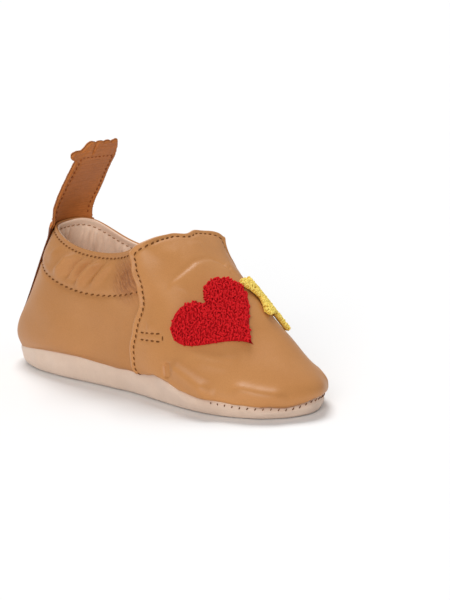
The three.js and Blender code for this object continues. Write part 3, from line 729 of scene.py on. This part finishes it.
# Its edge lies a little under the quarters' edge, more so on the outer side.
lip = lerp(-0.3, 0.5, smooth(np.sin(2 * np.pi * lin_t), -0.3, 0.3))
lin_v = np.linspace(0, 1, LINING_ROWS)[None] * (upper_top(lin_t) - lip / CLIMB)
lin_p, lin_n = raw(lin_t, lin_v), normal(lin_t, lin_v)
under = np.minimum(lin_t - lap_edge(lin_v), far_edge(lin_v) - lin_t)
front = smooth(under, -0.02, 0.03)
lin_depth = rim_depth(lin_round, lin_v)
pleats = np.zeros_like(lin_v)
for _ in range(PLEATS):
    at = rng.uniform(-0.30, 0.30)
    amp, wide, reach = rng.uniform(0.3, 0.9), rng.uniform(1.0, 1.9), rng.uniform(9, 20)
    around = (np.mod(lin_t + 0.5, 1) - 0.5 - at) * 330
    window = smooth(lin_depth, 1, 5) * (1 - smooth(lin_depth, reach - 6, reach))
    pleats += amp * bump(around + 0.12 * (lin_depth - 8), wide) * window
pleats = np.minimum(pleats, 1.3) * (1 - front)
lin_row = shoe(row_t, down_from_rim(row_t, TOP_ROW + 0.4), -UPPER_WALL)
lin_base = lin_p - lin_n * UPPER_WALL
inner_off = -UPPER_WALL - pleats - groove(lin_base, [lin_row], 0.2, 0.7)
outer_off = lerp(-SKIN - 0.1, -UPPER_WALL + 0.15, smooth(lin_depth, 1.5, 4))
outer_off = lerp(outer_off, 0, smooth(under, 0.03, 0.055))
lining_faces = (lin_p + lin_n * off[..., None] for off in (outer_off, inner_off))
add_object("lining", *skin(*lining_faces, True), "footbed", LINING)
inwards = -normal(row_t, top_v)[collar_half]
lining_rows = [(lin_row[collar_half] + 0.05 * inwards, inwards, 2.0, 1.2, 0.25, 0.05)]
stitches("lining_stitches", lining_rows, FADED, 0.22)

# ---- vamp with its tongue

ROW_IN = (2.2, 1.25)  # from the vamp's edge to its row of stitches, at the sides and along the top
VCOLS, VROWS = 300, 130
PALE_EDGE = 0.75  # how wide the strip with a painted highlight along the vamp's cut edge is
ends = np.linspace(-1, 1, VCOLS)
across_share = (np.sign(ends) * (1 - (1 - np.abs(ends)) ** 1.25) + 1) / 2
up_share = np.linspace(0, 1, VROWS)
seam_t = lerp(float(lap_edge(0.0)), float(far_edge(0.0)), across_share)
v_low = seam_shift(seam_t)[0][:, None]
vamp_v = lerp(v_low, tongue_edge(across_share)[:, None], up_share[None] ** 1.15)
vamp_s = np.broadcast_to(across_share[:, None], vamp_v.shape)
vamp_t = lerp(lap_edge(vamp_v), far_edge(vamp_v), vamp_s)
vamp_p, vamp_n = lowered(raw(vamp_t, vamp_v), vamp_t, vamp_v), normal(vamp_t, vamp_v)


VAMP_OUT = GAP + VAMP_WALL
vamp_out = lerp(-0.2, VAMP_OUT, smooth(vamp_v - v_low, 0, 0.09))
vamp_in = np.minimum(GAP + 0.1, vamp_out - VAMP_WALL + 0.1)
vamp_at = vamp_p + vamp_n * VAMP_OUT


def edge_row():
    """The row some way in from the vamp's edge: up the outer side, over the tongue, down the inner side.

    It comes with the way round it, from 0 to 3, one for each stretch."""
    count = 240
    up = np.linspace(0.02, float(tongue_edge(0)), count)
    down = np.linspace(float(tongue_edge(1)), 0.02, count)
    s = np.linspace(0, 1, count)
    top = tongue_edge(s)
    t = np.concatenate([lap_edge(up), lerp(lap_edge(top), far_edge(top), s)[1:], far_edge(down)[1:]])
    v = np.concatenate([up, top[1:], down[1:]])
    p, n = shoe(t, v, VAMP_OUT), normal(t, v)
    way = path_way(p)
    even = np.linspace(0, way[-1], 420)
    stretch = np.interp(even, way, np.linspace(0, 3, len(way)))
    p, n = at_way(even, way, p), at_way(even, way, n)
    along = unit(np.roll(p, -3, 0) - np.roll(p, 3, 0))
    along[:3], along[-3:] = along[3], along[-4]
    inset = lerp(ROW_IN[0], ROW_IN[1], smooth(stretch, 0.85, 1.2) * (1 - smooth(stretch, 1.8, 2.15)))
    p = p + unit(np.cross(along, n)) * inset[:, None]
    for _ in range(12):
        p[1:-1] = (p[:-2] + 2 * p[1:-1] + p[2:]) / 4
    return p, stretch


row, stretch = edge_row()

# The bar tack that holds the vamp's edge down: t and v of its rows of stitches, on the outer side.
BAR = [[(0.2865, 0.458), (0.3245, 0.473)], [(0.3265, 0.467), (0.3245, 0.433)],
       [(0.3215, 0.431), (0.2855, 0.417)]]
bars = [shoe(*fine_path(line).T, VAMP_OUT) for line in BAR + [[(1 - t, v) for t, v in line] for line in BAR]]

# Creases and folds, as lines of t and v, with a height and a half width in millimetres.
FOLDS = [
    ([(0.3258, 0.33), (0.3254, 0.26), (0.3266, 0.212)], -1.9, 1.2),
    ([(0.331, 0.33), (0.3424, 0.289), (0.3561, 0.254), (0.3702, 0.21), (0.385, 0.165)], 2.3, 2.4),
    ([(0.396, 0.225), (0.4156, 0.218), (0.431, 0.189), (0.4472, 0.155), (0.465, 0.12)], 1.2, 2.3),
    ([(0.352, 0.41), (0.375, 0.385), (0.40, 0.372), (0.42, 0.375)], 0.3, 1.6),
    ([(0.362, 0.35), (0.383, 0.335), (0.405, 0.33)], 0.22, 1.3),
    ([(0.315, 0.53), (0.308, 0.50), (0.300, 0.492)], 0.25, 1.7),
    ([(0.452, 0.93), (0.474, 0.943), (0.497, 0.938), (0.515, 0.925)], -0.15, 1.3),
    ([(0.458, 0.895), (0.482, 0.912), (0.508, 0.905)], 0.15, 1.8),
    ([(0.36, 0.86), (0.40, 0.875), (0.43, 0.86)], 0.2, 2.2),
    ([(0.6742, 0.27), (0.6745, 0.23), (0.672, 0.16)], -0.6, 0.9),
    ([(0.66, 0.30), (0.645, 0.26), (0.63, 0.21)], 0.7, 2.8),
    ([(0.60, 0.22), (0.575, 0.19), (0.55, 0.15)], 0.5, 2.4),
]
# The throat: a step in the leather above the patches, where the lining under them ends.
THROAT = [(0.366, 0.665), (0.3803, 0.711), (0.4012, 0.741), (0.4255, 0.774), (0.4498, 0.806), (0.4891, 0.824),
          (0.5152, 0.799), (0.532, 0.755), (0.545, 0.70)]
THROAT_STEP = 0.32

vamp_high = groove(vamp_at, [row], 0.42, 0.65)
vamp_high += groove(vamp_at, bars, 0.22, 0.5)
for places, fold_height, half_width in FOLDS:
    vamp_high += fold(vamp_at, places, fold_height, half_width, VAMP_OUT)
throat = fine_path(THROAT, 160)
near, which = nearest(vamp_at, shoe(*throat.T, VAMP_OUT))
ends = fading(which, len(throat), 0.2)
signed = near * np.sign(throat[which, 1] - vamp_v)
vamp_high += THROAT_STEP * ends * smooth(signed, -0.35, 0.9) * (1 - smooth(signed, 1.5, 8.5))
vamp_high -= 0.2 * ends * bump(signed + 0.7, 0.8)
vamp_high += uneven(vamp_at, 15, 0.2, 5) * smooth(vamp_v - v_low, 0.02, 0.12)
# The strip outside the rows of stitches bulges a little.
edge_way = np.minimum(vamp_t - lap_edge(vamp_v), far_edge(vamp_v) - vamp_t) * AROUND
vamp_high += 0.4 * bump(edge_way - ROW_IN[0] / 2, 0.9) * smooth(vamp_v, 0.05, 0.15)
vamp_high *= smooth(vamp_v - v_low, 0.0, 0.08)
vamp_high -= 0.4 * (1 - smooth(edge_way, 0, 1.0))
# The tongue's inner corner curls outwards.
curl = smooth(vamp_v, 0.7, 0.97) * smooth(vamp_s, 0.72, 1.0)
vamp_face = vamp_p + vamp_n * (vamp_out + vamp_high + curl)[..., None]
vamp = add_object("vamp_leather", *skin(vamp_face, vamp_p + vamp_n * (vamp_in + curl)[..., None], False, 6),
                  "vamp_leather", VAMP_TAN)
vamp.data.materials.append(TAN_EDGE_HIGHLIGHT)
# The cut edge and the strip next to it are paler: a painted highlight where the edge turns towards the light.
pale = np.ones(len(vamp.data.polygons), int)
on_side = np.repeat(((edge_way < PALE_EDGE) & (vamp_v < 0.9))[:-1, :-1].ravel(), 2)
pale[:len(on_side)] = on_side
vamp.data.polygons.foreach_set("material_index", pale.tolist())
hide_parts("vamp")
vamp_rows = []
for k, (pitch, size, slant) in enumerate([(1.9, 1.3, 0.3), (2.4, 1.6, 0.25), (1.9, 1.3, -0.3)]):
    mine = (stretch >= k) & (stretch <= k + 1)
    vamp_rows.append((*laid(row[mine], vamp_face, vamp_n), pitch, size, slant, 0.05))
vamp_rows += [(*laid(line, vamp_face, vamp_n), 2.4, 1.55, 0, 0.05) for line in bars]
stitches("vamp_stitches", vamp_rows, THREAD, 0.27)

# ---- outsole

SOLE_COLS = 360


def sole_loop(inset, height, side="inner"):
    """A line round the sole, set in from the seam line, at a height worked out from the seam's."""
    t = np.arange(SOLE_COLS) / SOLE_COLS
    p = raw(t, 0 * t)
    along = raw(t + 1e-3, 0 * t) - raw(t - 1e-3, 0 * t)
    away = unit(np.stack([along[:, 1], -along[:, 0]], 1))
    seam = p[:, 2] - GAP
    h = height(seam) + 0 * seam
    heel = smooth(-p[:, 0] / LENGTH, 0.36, 0.5)
    edge = max(inset, 0) / SOLE_EDGE * HEEL_EDGE * (side == "outer")
    inset = inset + heel * (edge + HEEL_TUCK * smooth(1 - h / seam, 0, 0.45))
    # Near its top edge the side follows the seam to where the leather ends.
    raised, fallen = seam_shift(t)
    moved = (raw(t, raised) - p) * [0.8, 0.8, 0.9] + np.column_stack([0 * t, 0 * t, fallen])
    loop = np.column_stack([p[:, :2] - away * np.reshape(inset, (-1, 1)), h])
    return loop + moved * smooth(h / seam, 0.4, 1)[:, None]


def sole_profile(n):
    """The side's outline between the table's rows, as a smooth curve of inset and height."""
    rows = np.array(SOLE_SIDE, float)
    k = np.linspace(0, len(rows) - 1, n)
    ghost = np.vstack([2 * rows[0] - rows[1], rows, 2 * rows[-1] - rows[-2]])
    i = np.clip(k.astype(int), 0, len(rows) - 2)
    return curved(ghost[i], ghost[i + 1], ghost[i + 2], ghost[i + 3], (k - i)[:, None])


sole_loops = [sole_loop(SOLE_WALL + 1, lambda seam: SOLE_FLOOR),
              sole_loop(SOLE_WALL, lambda seam: lerp(SOLE_FLOOR, seam, 0.4))]
for a in np.linspace(0, 1, 5):
    sole_loops.append(sole_loop(SOLE_WALL / 2 + SOLE_WALL / 2 * math.cos(math.pi * a),
                                lambda seam: seam + 0.1 + 0.3 * math.sin(math.pi * a)))
for inset, up in sole_profile(26)[1:]:
    loop = sole_loop(inset * SOLE_EDGE, lambda seam: max(up, 0) * seam, "outer")
    middle = loop.mean(0) * [1, 0, 0]
    away = unit((loop - middle) * [0.35, 1, 0])
    soft = uneven(loop, 11, 0.28, 11) * math.sin(math.pi * min(max(up, 0), 1)) ** 0.5
    sole_loops.append(loop + away * soft[:, None])
# The underside is hollow by a hair, so that the pads and a rim touch the floor.
UNDER = 0.25
sole_loops.append(sole_loop(SOLE_EDGE + 1.2, lambda seam: 0, "outer"))
sole_loops.append(sole_loop(SOLE_EDGE + 2.2, lambda seam: UNDER, "outer"))
sole_loops = np.array(sole_loops)
mirror = (SOLE_COLS - np.arange(SOLE_COLS)) % SOLE_COLS


def shell(loops):
    """A body of lines round the sole, whose first and last are closed along the middle."""
    first, last = ((loop + loop[mirror]) / 2 for loop in (loops[0], loops[-1]))
    verts = np.concatenate([first[None], loops, last[None]])
    faces = []
    for k in range(len(verts) - 1):
        for i in range(SOLE_COLS):
            a, b = k * SOLE_COLS, k * SOLE_COLS + (i + 1) % SOLE_COLS
            faces.append((a + i, a + i + SOLE_COLS, b + SOLE_COLS, b))
    return verts.reshape(-1, 3), faces


sole = add_object("sole_tray", *shell(sole_loops), "sole_suede", SUEDE)
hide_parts("outsole")

# Whip stitches over the seam round the toe, from the leather's edge down on the suede.
WHIP_FROM, WHIP_TO = 0.372, 0.70
seam_t = np.linspace(WHIP_FROM, WHIP_TO, 300)
raised, fallen = seam_shift(seam_t)
whip_at = shoe(seam_t, raised, 0.25) - np.column_stack([0 * seam_t, 0 * seam_t, 0.4 - fallen])
whip_out = normal(seam_t, 0 * seam_t)
stitches("whip_stitches", [(whip_at, whip_out, 2.55, 1.5, math.pi / 2 - 0.3, 0.12)], THREAD, 0.2)

# ---- footbed

bed_low, bed_top = SOLE_FLOOR + GAP, SOLE_FLOOR + GAP + INSOLE_THICKNESS
bed = [sole_loop(INSOLE_INSET + k, lambda seam: bed_top) for k in (9.0, 6.5, 4.5, 3.0, 2.0, 1.2)]
for a in np.linspace(0.5, -0.5, 7) * math.pi:
    bed.append(sole_loop(INSOLE_INSET + 0.9 * (1 - math.cos(a)),
                         lambda seam: (bed_low + bed_top) / 2 + INSOLE_THICKNESS / 2 * math.sin(a)))
bed.append(sole_loop(INSOLE_INSET + 3.0, lambda seam: bed_low))
bed = np.array(bed)
for k in range(6):
    bed[k, :, 2] -= uneven(bed[k], 9, 0.12, 21)
footbed = add_object("footbed", *shell(bed), "footbed", LINING)
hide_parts("insole")

for name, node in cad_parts.items():
    if name.startswith("grip"):
        node.data.materials.clear()
        node.data.materials.append(PADS)

# ---- pull tab

tab_back = shoe(np.array(0.0), np.array(1.0), GAP)


def centripetal(points, s):
    """Place and direction on a smooth line through points, for a share s of its spans."""
    p = np.asarray(points, float)
    n = len(p) - 1
    k = min(int(s * n), n - 1)
    w = s * n - k
    p0 = p[k - 1] if k > 0 else 2 * p[0] - p[1]
    p1, p2 = p[k], p[k + 1]
    p3 = p[k + 2] if k + 2 <= n else 2 * p[n] - p[n - 1]
    d0, d1, d2 = (math.sqrt(np.linalg.norm(b - a)) for a, b in ((p0, p1), (p1, p2), (p2, p3)))
    t1 = ((p1 - p0) / d0 - (p2 - p0) / (d0 + d1) + (p2 - p1) / d1) * d1
    t2 = ((p2 - p1) / d1 - (p3 - p1) / (d1 + d2) + (p3 - p2) / d2) * d1
    c2, c3 = -3 * p1 + 3 * p2 - 2 * t1 - t2, 2 * p1 - 2 * p2 + t1 + t2
    return p1 + t1 * w + c2 * w * w + c3 * w**3, unit(t1 + 2 * c2 * w + 3 * c3 * w * w)


TAB_LINE = [(tab_back[0] + a * HEEL_HEIGHT, tab_back[2] + u * HEEL_HEIGHT) for a, u, _ in TAB_PATH]
steps = np.linspace(0, 1, 201)
tab_pts, tab_dir = (np.array(a) for a in zip(*(centripetal(TAB_LINE, s) for s in steps)))
free_way = path_way(tab_pts)
FREE_LENGTH = free_way[-1]
heel_v = np.linspace(1, 0.02, 201)
heel_way = path_way(shoe(0 * heel_v, heel_v, GAP))
HEEL_LENGTH = heel_way[-1]


def heel_place(v, across):
    """Place t at which the heel's surface lies some way across from the middle."""
    return solve(np.full_like(v, -0.12), np.full_like(v, 0.12), lambda t: across - raw(t, v)[..., 1])


def tab_place(x, y, back):
    """Points of the strip: x across, y up from the collar's edge, back behind its front face."""
    x, y, back = (np.asarray(a, float) for a in (x, y, back))
    result = np.zeros((len(x), 3))
    low = y <= 0
    if low.any():
        v = np.interp(-y[low], heel_way, heel_v)
        # Sewn down on the heel the strip is pressed flat and lies narrower.
        down = smooth(-y[low], 0, 7)
        result[low] = shoe(heel_place(v, x[low] * lerp(1, 0.84, down)), v,
                           lerp(GAP, 0.1, down) + back[low] * lerp(1, 0.5, down))
    up = ~low
    s = np.interp(y[up], free_way, steps)
    over = np.maximum(y[up] - FREE_LENGTH, 0)
    (px, pz), (dx, dz) = at_way(s, steps, tab_pts).T, at_way(s, steps, tab_dir).T
    bow = np.interp(s * (len(TAB_PATH) - 1), range(len(TAB_PATH)), [row[2] for row in TAB_PATH])
    one = np.ones(up.sum())
    rounding = shoe(heel_place(one, np.clip(x[up], -9.4, 9.4)), one, GAP) - tab_back
    b = back[up]
    result[up] = np.column_stack([px + rounding[:, 0] * bow - dz * b + dx * over, x[up],
                                  pz + rounding[:, 2] * bow + dx * b + dz * over])
    return result


HALF = TAB_WIDTH / 2
# The hand's outline, from the strip's outer edge over thumb and fingers to its inner edge: across and up.
HAND = [
    [(-9.5, 1.6), (-10.3, 2.3), (-11.8, 3.1), (-12.9, 4.2), (-13.1, 5.4), (-12.5, 6.3), (-11.2, 6.8),
     (-9.0, 6.7)],
    [(-8.4, 7.9), (-8.0, 9.1), (-7.4, 10.0), (-6.5, 10.5), (-5.5, 10.5), (-4.5, 10.2), (-3.7, 9.5)],
    [(-3.3, 10.0), (-2.4, 10.35), (-1.2, 10.3), (0.2, 9.55)],
    [(0.6, 9.9), (1.6, 10.0), (2.9, 9.85), (4.2, 9.1)],
    [(4.4, 9.45), (5.1, 9.8), (6.0, 10.1), (6.6, 9.8), (7.5, 8.2), (8.4, 6.2), (9.1, 4.0), (9.5, 2.0)],
]


def within_outline(p, outline):
    """Which points lie inside a closed outline."""
    result = np.zeros(len(p), bool)
    for (x0, y0), (x1, y1) in zip(outline, np.roll(outline, -1, 0)):
        cross = (y0 > p[:, 1]) != (y1 > p[:, 1])
        with np.errstate(divide="ignore", invalid="ignore"):
            result ^= cross & (p[:, 0] < (x1 - x0) * (p[:, 1] - y0) / (y1 - y0) + x0)
    return result


def staggered(outline, step, squash):
    """Points in staggered rows over an outline's box."""
    low, top = outline.min(0), outline.max(0)
    xs, ys = np.arange(low[0], top[0], step), np.arange(low[1], top[1], step * squash)
    gx, gy = np.meshgrid(xs, ys)
    gx = gx + (np.arange(len(ys)) % 2)[:, None] * step / 2
    return np.column_stack([gx.ravel(), gy.ravel()])


def slab(outline, place, thick, spacing, name, slot, material, height=None):
    """A piece cut from flat stock by an outline, laid in place: pillowed edges, fine grid inside."""
    roll = 0.7
    outline = np.array(outline, float)
    closed = np.vstack([outline, outline[:1]])
    way = path_way(closed)
    count = int(way[-1] / spacing)
    edge = at_way(np.arange(count) * way[-1] / count, way, closed)

    def to_edge(p):
        best = np.full(len(p), 1e9)
        for k in range(0, len(edge), 60):
            d = np.linalg.norm(p[:, None] - edge[None, k:k + 60], axis=2).min(1)
            best = np.minimum(best, d)
        return best

    inner = staggered(outline, spacing, 0.92)
    inner = inner[within_outline(inner, edge)]
    inner = inner[to_edge(inner) > spacing * 0.55]
    flat = np.vstack([edge, inner])
    rim = [(i, (i + 1) % len(edge)) for i in range(len(edge))]
    points, _, tris, *_ = delaunay_2d_cdt([Vector(p) for p in flat], rim, [list(range(len(edge)))], 1, 1e-6)
    points = np.array([tuple(p) for p in points])
    d = np.where(np.arange(len(points)) < len(edge), 0, to_edge(points))
    fall = roll - np.sqrt(np.maximum(roll**2 - np.maximum(roll - d, 0) ** 2, 0))
    fall = fall * np.minimum(1, thick / 2 / roll)
    lift = height(points, d) if height is not None else 0 * d
    front = place(points[:, 0], points[:, 1], fall - lift)
    rear = place(points[:, 0], points[:, 1], thick - fall)
    n = len(points)
    faces = [tuple(t) for t in tris] + [tuple(n + i for i in reversed(t)) for t in tris]
    return add_object(name, np.vstack([front, rear]), faces, slot, material), points


hand = [p for piece in HAND for p in rounded(piece)]
BELLY_AT, BELLY_HALF = FREE_LENGTH * 0.55, 7  # where the strip's inner edge bulges
left = [(-HALF, y) for y in np.linspace(-HEEL_LENGTH, FREE_LENGTH, 60)]
right = [(HALF + 0.9 * bump(y - BELLY_AT, BELLY_HALF), y)
         for y in np.linspace(FREE_LENGTH, -HEEL_LENGTH, 60)]
outline = left + [(x, FREE_LENGTH + y) for x, y in hand] + right
outline = [outline[0]] + [p for q, p in zip(outline, outline[1:]) if np.hypot(*np.subtract(p, q)) > 1e-3]
TAB_ROW = 1.7


def tab_relief(p, d):
    """Pressed lines on the strip's front: beside the stitches, and the slit between two fingers."""
    relief = -0.18 * bump(d - TAB_ROW, 0.55)
    start, slit = np.array([-4.2, FREE_LENGTH + 9.8]), np.array([0.8, -4.4])
    k = np.clip(((p - start) @ slit) / (slit @ slit), 0, 1)
    away = np.linalg.norm(p - start - k[:, None] * slit, axis=1)
    return relief - 0.8 * bump(away, 0.26)


tab, tab_points = slab(outline, tab_place, TAB_WALL, 0.45, "pull_strip", "tab_leather", BROWN, tab_relief)
# Sewn down on the heel it is darker: painted shade on the same brown leather.
tab.data.materials.append(BROWN_SHADED)
on_heel = np.tile(tab_points[:, 1] < -1.5, 2)
darker = [int(on_heel[list(face.vertices)].all()) for face in tab.data.polygons]
tab.data.polygons.foreach_set("material_index", darker)
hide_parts("pull_tab")


def tab_path(points, side):
    """A row of stitches on the strip's front or back face, with its outward directions."""
    x, y = at_way(np.linspace(0, len(points) - 1, 200), range(len(points)), points).T
    front, rear = tab_place(x, y, 0 * x), tab_place(x, y, 0 * x + TAB_WALL)
    n = unit(front - rear)
    return (front - 0.12 * n, n) if side == "front" else (rear + 0.12 * n, -n)


row_x = HALF - TAB_ROW
left_head, right_head = FREE_LENGTH + 3.9, FREE_LENGTH + 2.9
strip_rows = []
for x, head in ((-row_x, left_head), (row_x, right_head)):
    belly = 0.8 if x > 0 else 0
    free = [(x + belly * float(bump(y - BELLY_AT, BELLY_HALF)), y) for y in np.linspace(1.6, head, 24)]
    whole = [(x, -HEEL_LENGTH + 2), (x, 0), *free]
    for line, side in ((free, "front"), (whole, "back")):
        strip_rows.append((*tab_path(line, side), 1.9, 1.15, 0.25, 0.08))
across = [(-row_x, left_head), (row_x, right_head)]
strip_rows += [(*tab_path(across, side), 1.9, 1.15, 0.2, 0.08) for side in ("front", "back")]
stitches("tab_stitches", strip_rows, TAB_THREAD, 0.2)

# ---- patches of looped yarn


def heart_outline(size):
    a = -np.arange(96) / 96 * 2 * np.pi
    y = 13 * np.cos(a) - 5 * np.cos(2 * a) - 2 * np.cos(3 * a) - np.cos(4 * a)
    return np.column_stack([16 * np.sin(a) ** 3, y]) * size / 32


def star_outline(size):
    corners = []
    for i in range(5):
        for turn, radius in ((-0.07, 0.48), (0.07, 0.48), (0.5, 0.25)):
            a = (i + turn) / 5 * 2 * np.pi
            corners.append((math.cos(a) * radius * size, math.sin(a) * radius * size))
    return np.array(corners)


def patch_frame(place):
    """How a patch lies on the vamp: a function from across and up to t and v."""
    t0, v0, turn = place
    inside = VAMP_OUT + GAP
    middle = shoe(t0, v0, inside)
    out_way = unit(shoe(t0, v0, inside + 1) - middle)
    across = np.cross(shoe(t0, v0 + 1e-3, inside) - middle, out_way)
    across = unit(across * math.cos(turn) + np.cross(out_way, across) * math.sin(turn))
    up = np.cross(out_way, across)

    def find(x, y):
        t, v = np.full(len(x), t0), np.full(len(x), v0)
        for _ in range(8):
            p = shoe(t, v, inside)
            dt = (shoe(t + 1e-3, v, inside) - p) / 1e-3
            dv = (shoe(t, v + 1e-3, inside) - p) / 1e-3
            ex, ey = x - (p - middle) @ across, y - (p - middle) @ up
            a, b, c, d = dt @ across, dv @ across, dt @ up, dv @ up
            det = a * d - b * c
            t = t + np.clip((ex * d - ey * b) / det, -0.05, 0.05)
            v = v + np.clip((ey * a - ex * c) / det, -0.1, 0.1)
        return t, v

    return find


def looped_patch(name, outline, place, slot, material, base_material, node):
    """A sewn base with short loops of yarn standing on it, close together."""
    find = patch_frame(place)
    inside = VAMP_OUT + GAP
    base_high = 0.9

    def lay(x, y, back):
        t, v = find(x, y)
        return shoe(t, v, inside + base_high - back)

    base, _ = slab(outline * 0.985, lay, base_high + 0.25, 0.9, name + "_base", slot, base_material)
    spots = staggered(outline, 0.86, 0.87)
    spots = spots + rng.normal(0, 0.17, spots.shape)
    spots = spots[within_outline(spots, outline * 0.955)]
    t, v = find(spots[:, 0], spots[:, 1])
    foot, n = shoe(t, v, inside + base_high - 0.15), normal(t, v)
    bend, sides = 8, 5
    verts, faces = [], []
    for p, up in zip(foot, n):
        turn = rng.uniform(0, 2 * math.pi)
        side = unit(np.cross(up, [math.cos(turn), math.sin(turn), 0.3]))
        lean = unit(up + 0.3 * rng.normal(size=3))
        cross = np.cross(side, lean)
        radius, thick = rng.uniform(0.36, 0.54), rng.uniform(0.27, 0.34)
        rise = rng.uniform(0.75, 1.15)
        faces += tube_faces(len(verts), bend, sides)
        for k in range(bend):
            a = -0.35 + (math.pi + 0.7) * k / (bend - 1)
            centre = p + side * radius * math.cos(a) + lean * rise * max(math.sin(a), -0.3) * 0.95
            away = np.cross(unit(-side * radius * math.sin(a) + lean * rise * math.cos(a)), cross)
            swell = 1 + 0.12 * math.sin(k * 2.4 + turn)
            for c in range(sides):
                b = 2 * math.pi * c / sides
                verts.append(centre + (cross * math.cos(b) + away * math.sin(b)) * thick * swell)
    loops = add_object(name, verts, faces, slot, material)
    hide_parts(node)
    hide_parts(node)


looped_patch("heart_loops", heart_outline(HEART_SIZE), HEART_PLACE, "red_loops", RED, RED_BASE,
             "patch_heart")
looped_patch("star_loops", star_outline(STAR_SIZE), STAR_PLACE, "yellow_loops", YELLOW, YELLOW_BASE,
             "patch_star")

# ---- stage: floor, light, camera

floor_mesh = bpy.data.meshes.new("floor")
floor_mesh.from_pydata([(-20, -20, 0), (20, -20, 0), (20, 20, 0), (-20, 20, 0)], [], [(0, 1, 2, 3)])
floor = bpy.data.objects.new("floor", floor_mesh)
bpy.context.scene.collection.objects.link(floor)
material, tree, shader, _ = node_material("floor_paint")
set_inputs(tree, shader, {"Base Color": (0.9, 0.9, 0.9, 1), "Roughness": 1, "Specular IOR Level": 0})
floor_mesh.materials.append(material)

world = bpy.data.worlds.new("studio")
world.use_nodes = True
world.node_tree.nodes["Background"].inputs[0].default_value = (1, 1, 1, 1)
world.node_tree.nodes["Background"].inputs[1].default_value = 0.38
bpy.context.scene.world = world
bpy.context.scene.view_settings.view_transform = "Standard"


def sun(name, way, strength, spread):
    """A soft light from far off; way points from the shoe towards it."""
    data = bpy.data.lights.new(name, "SUN")
    data.energy = strength
    data.angle = math.radians(spread)
    obj = bpy.data.objects.new(name, data)
    obj.rotation_euler = (-Vector(way)).to_track_quat("-Z", "Y").to_euler()
    bpy.context.scene.collection.objects.link(obj)


sun("overhead", (-0.45, 0.32, 1), 2.1, 30)
sun("front", (0.45, -0.8, 0.36), 1.4, 28)

AZIMUTH, ELEVATION = math.radians(42), math.radians(12)
DISTANCE, FOCAL, SENSOR = 900, 2655, 36  # the focal length in pixels of a picture 600 high
to_right = np.array([math.cos(AZIMUTH), math.sin(AZIMUTH), 0])
level = np.array([to_right[1], -to_right[0], 0])
behind = level * math.cos(ELEVATION) + np.array([0, 0, math.sin(ELEVATION)])
upwards = np.cross(behind, to_right)
aim = np.array([0, 0, 20.0]) + 17 * to_right + 9 * upwards
data = bpy.data.cameras.new("camera")
data.sensor_fit = "VERTICAL"
data.sensor_height = SENSOR
data.lens = FOCAL * SENSOR / 600
data.clip_start = 0.01
data.clip_end = 100
camera = bpy.data.objects.new("camera", data)
turn = Matrix([to_right, upwards, behind]).transposed().to_4x4()
camera.matrix_world = Matrix.Translation(Vector((aim + behind * DISTANCE) * MM)) @ turn
bpy.context.scene.collection.objects.link(camera)
bpy.context.scene.camera = camera

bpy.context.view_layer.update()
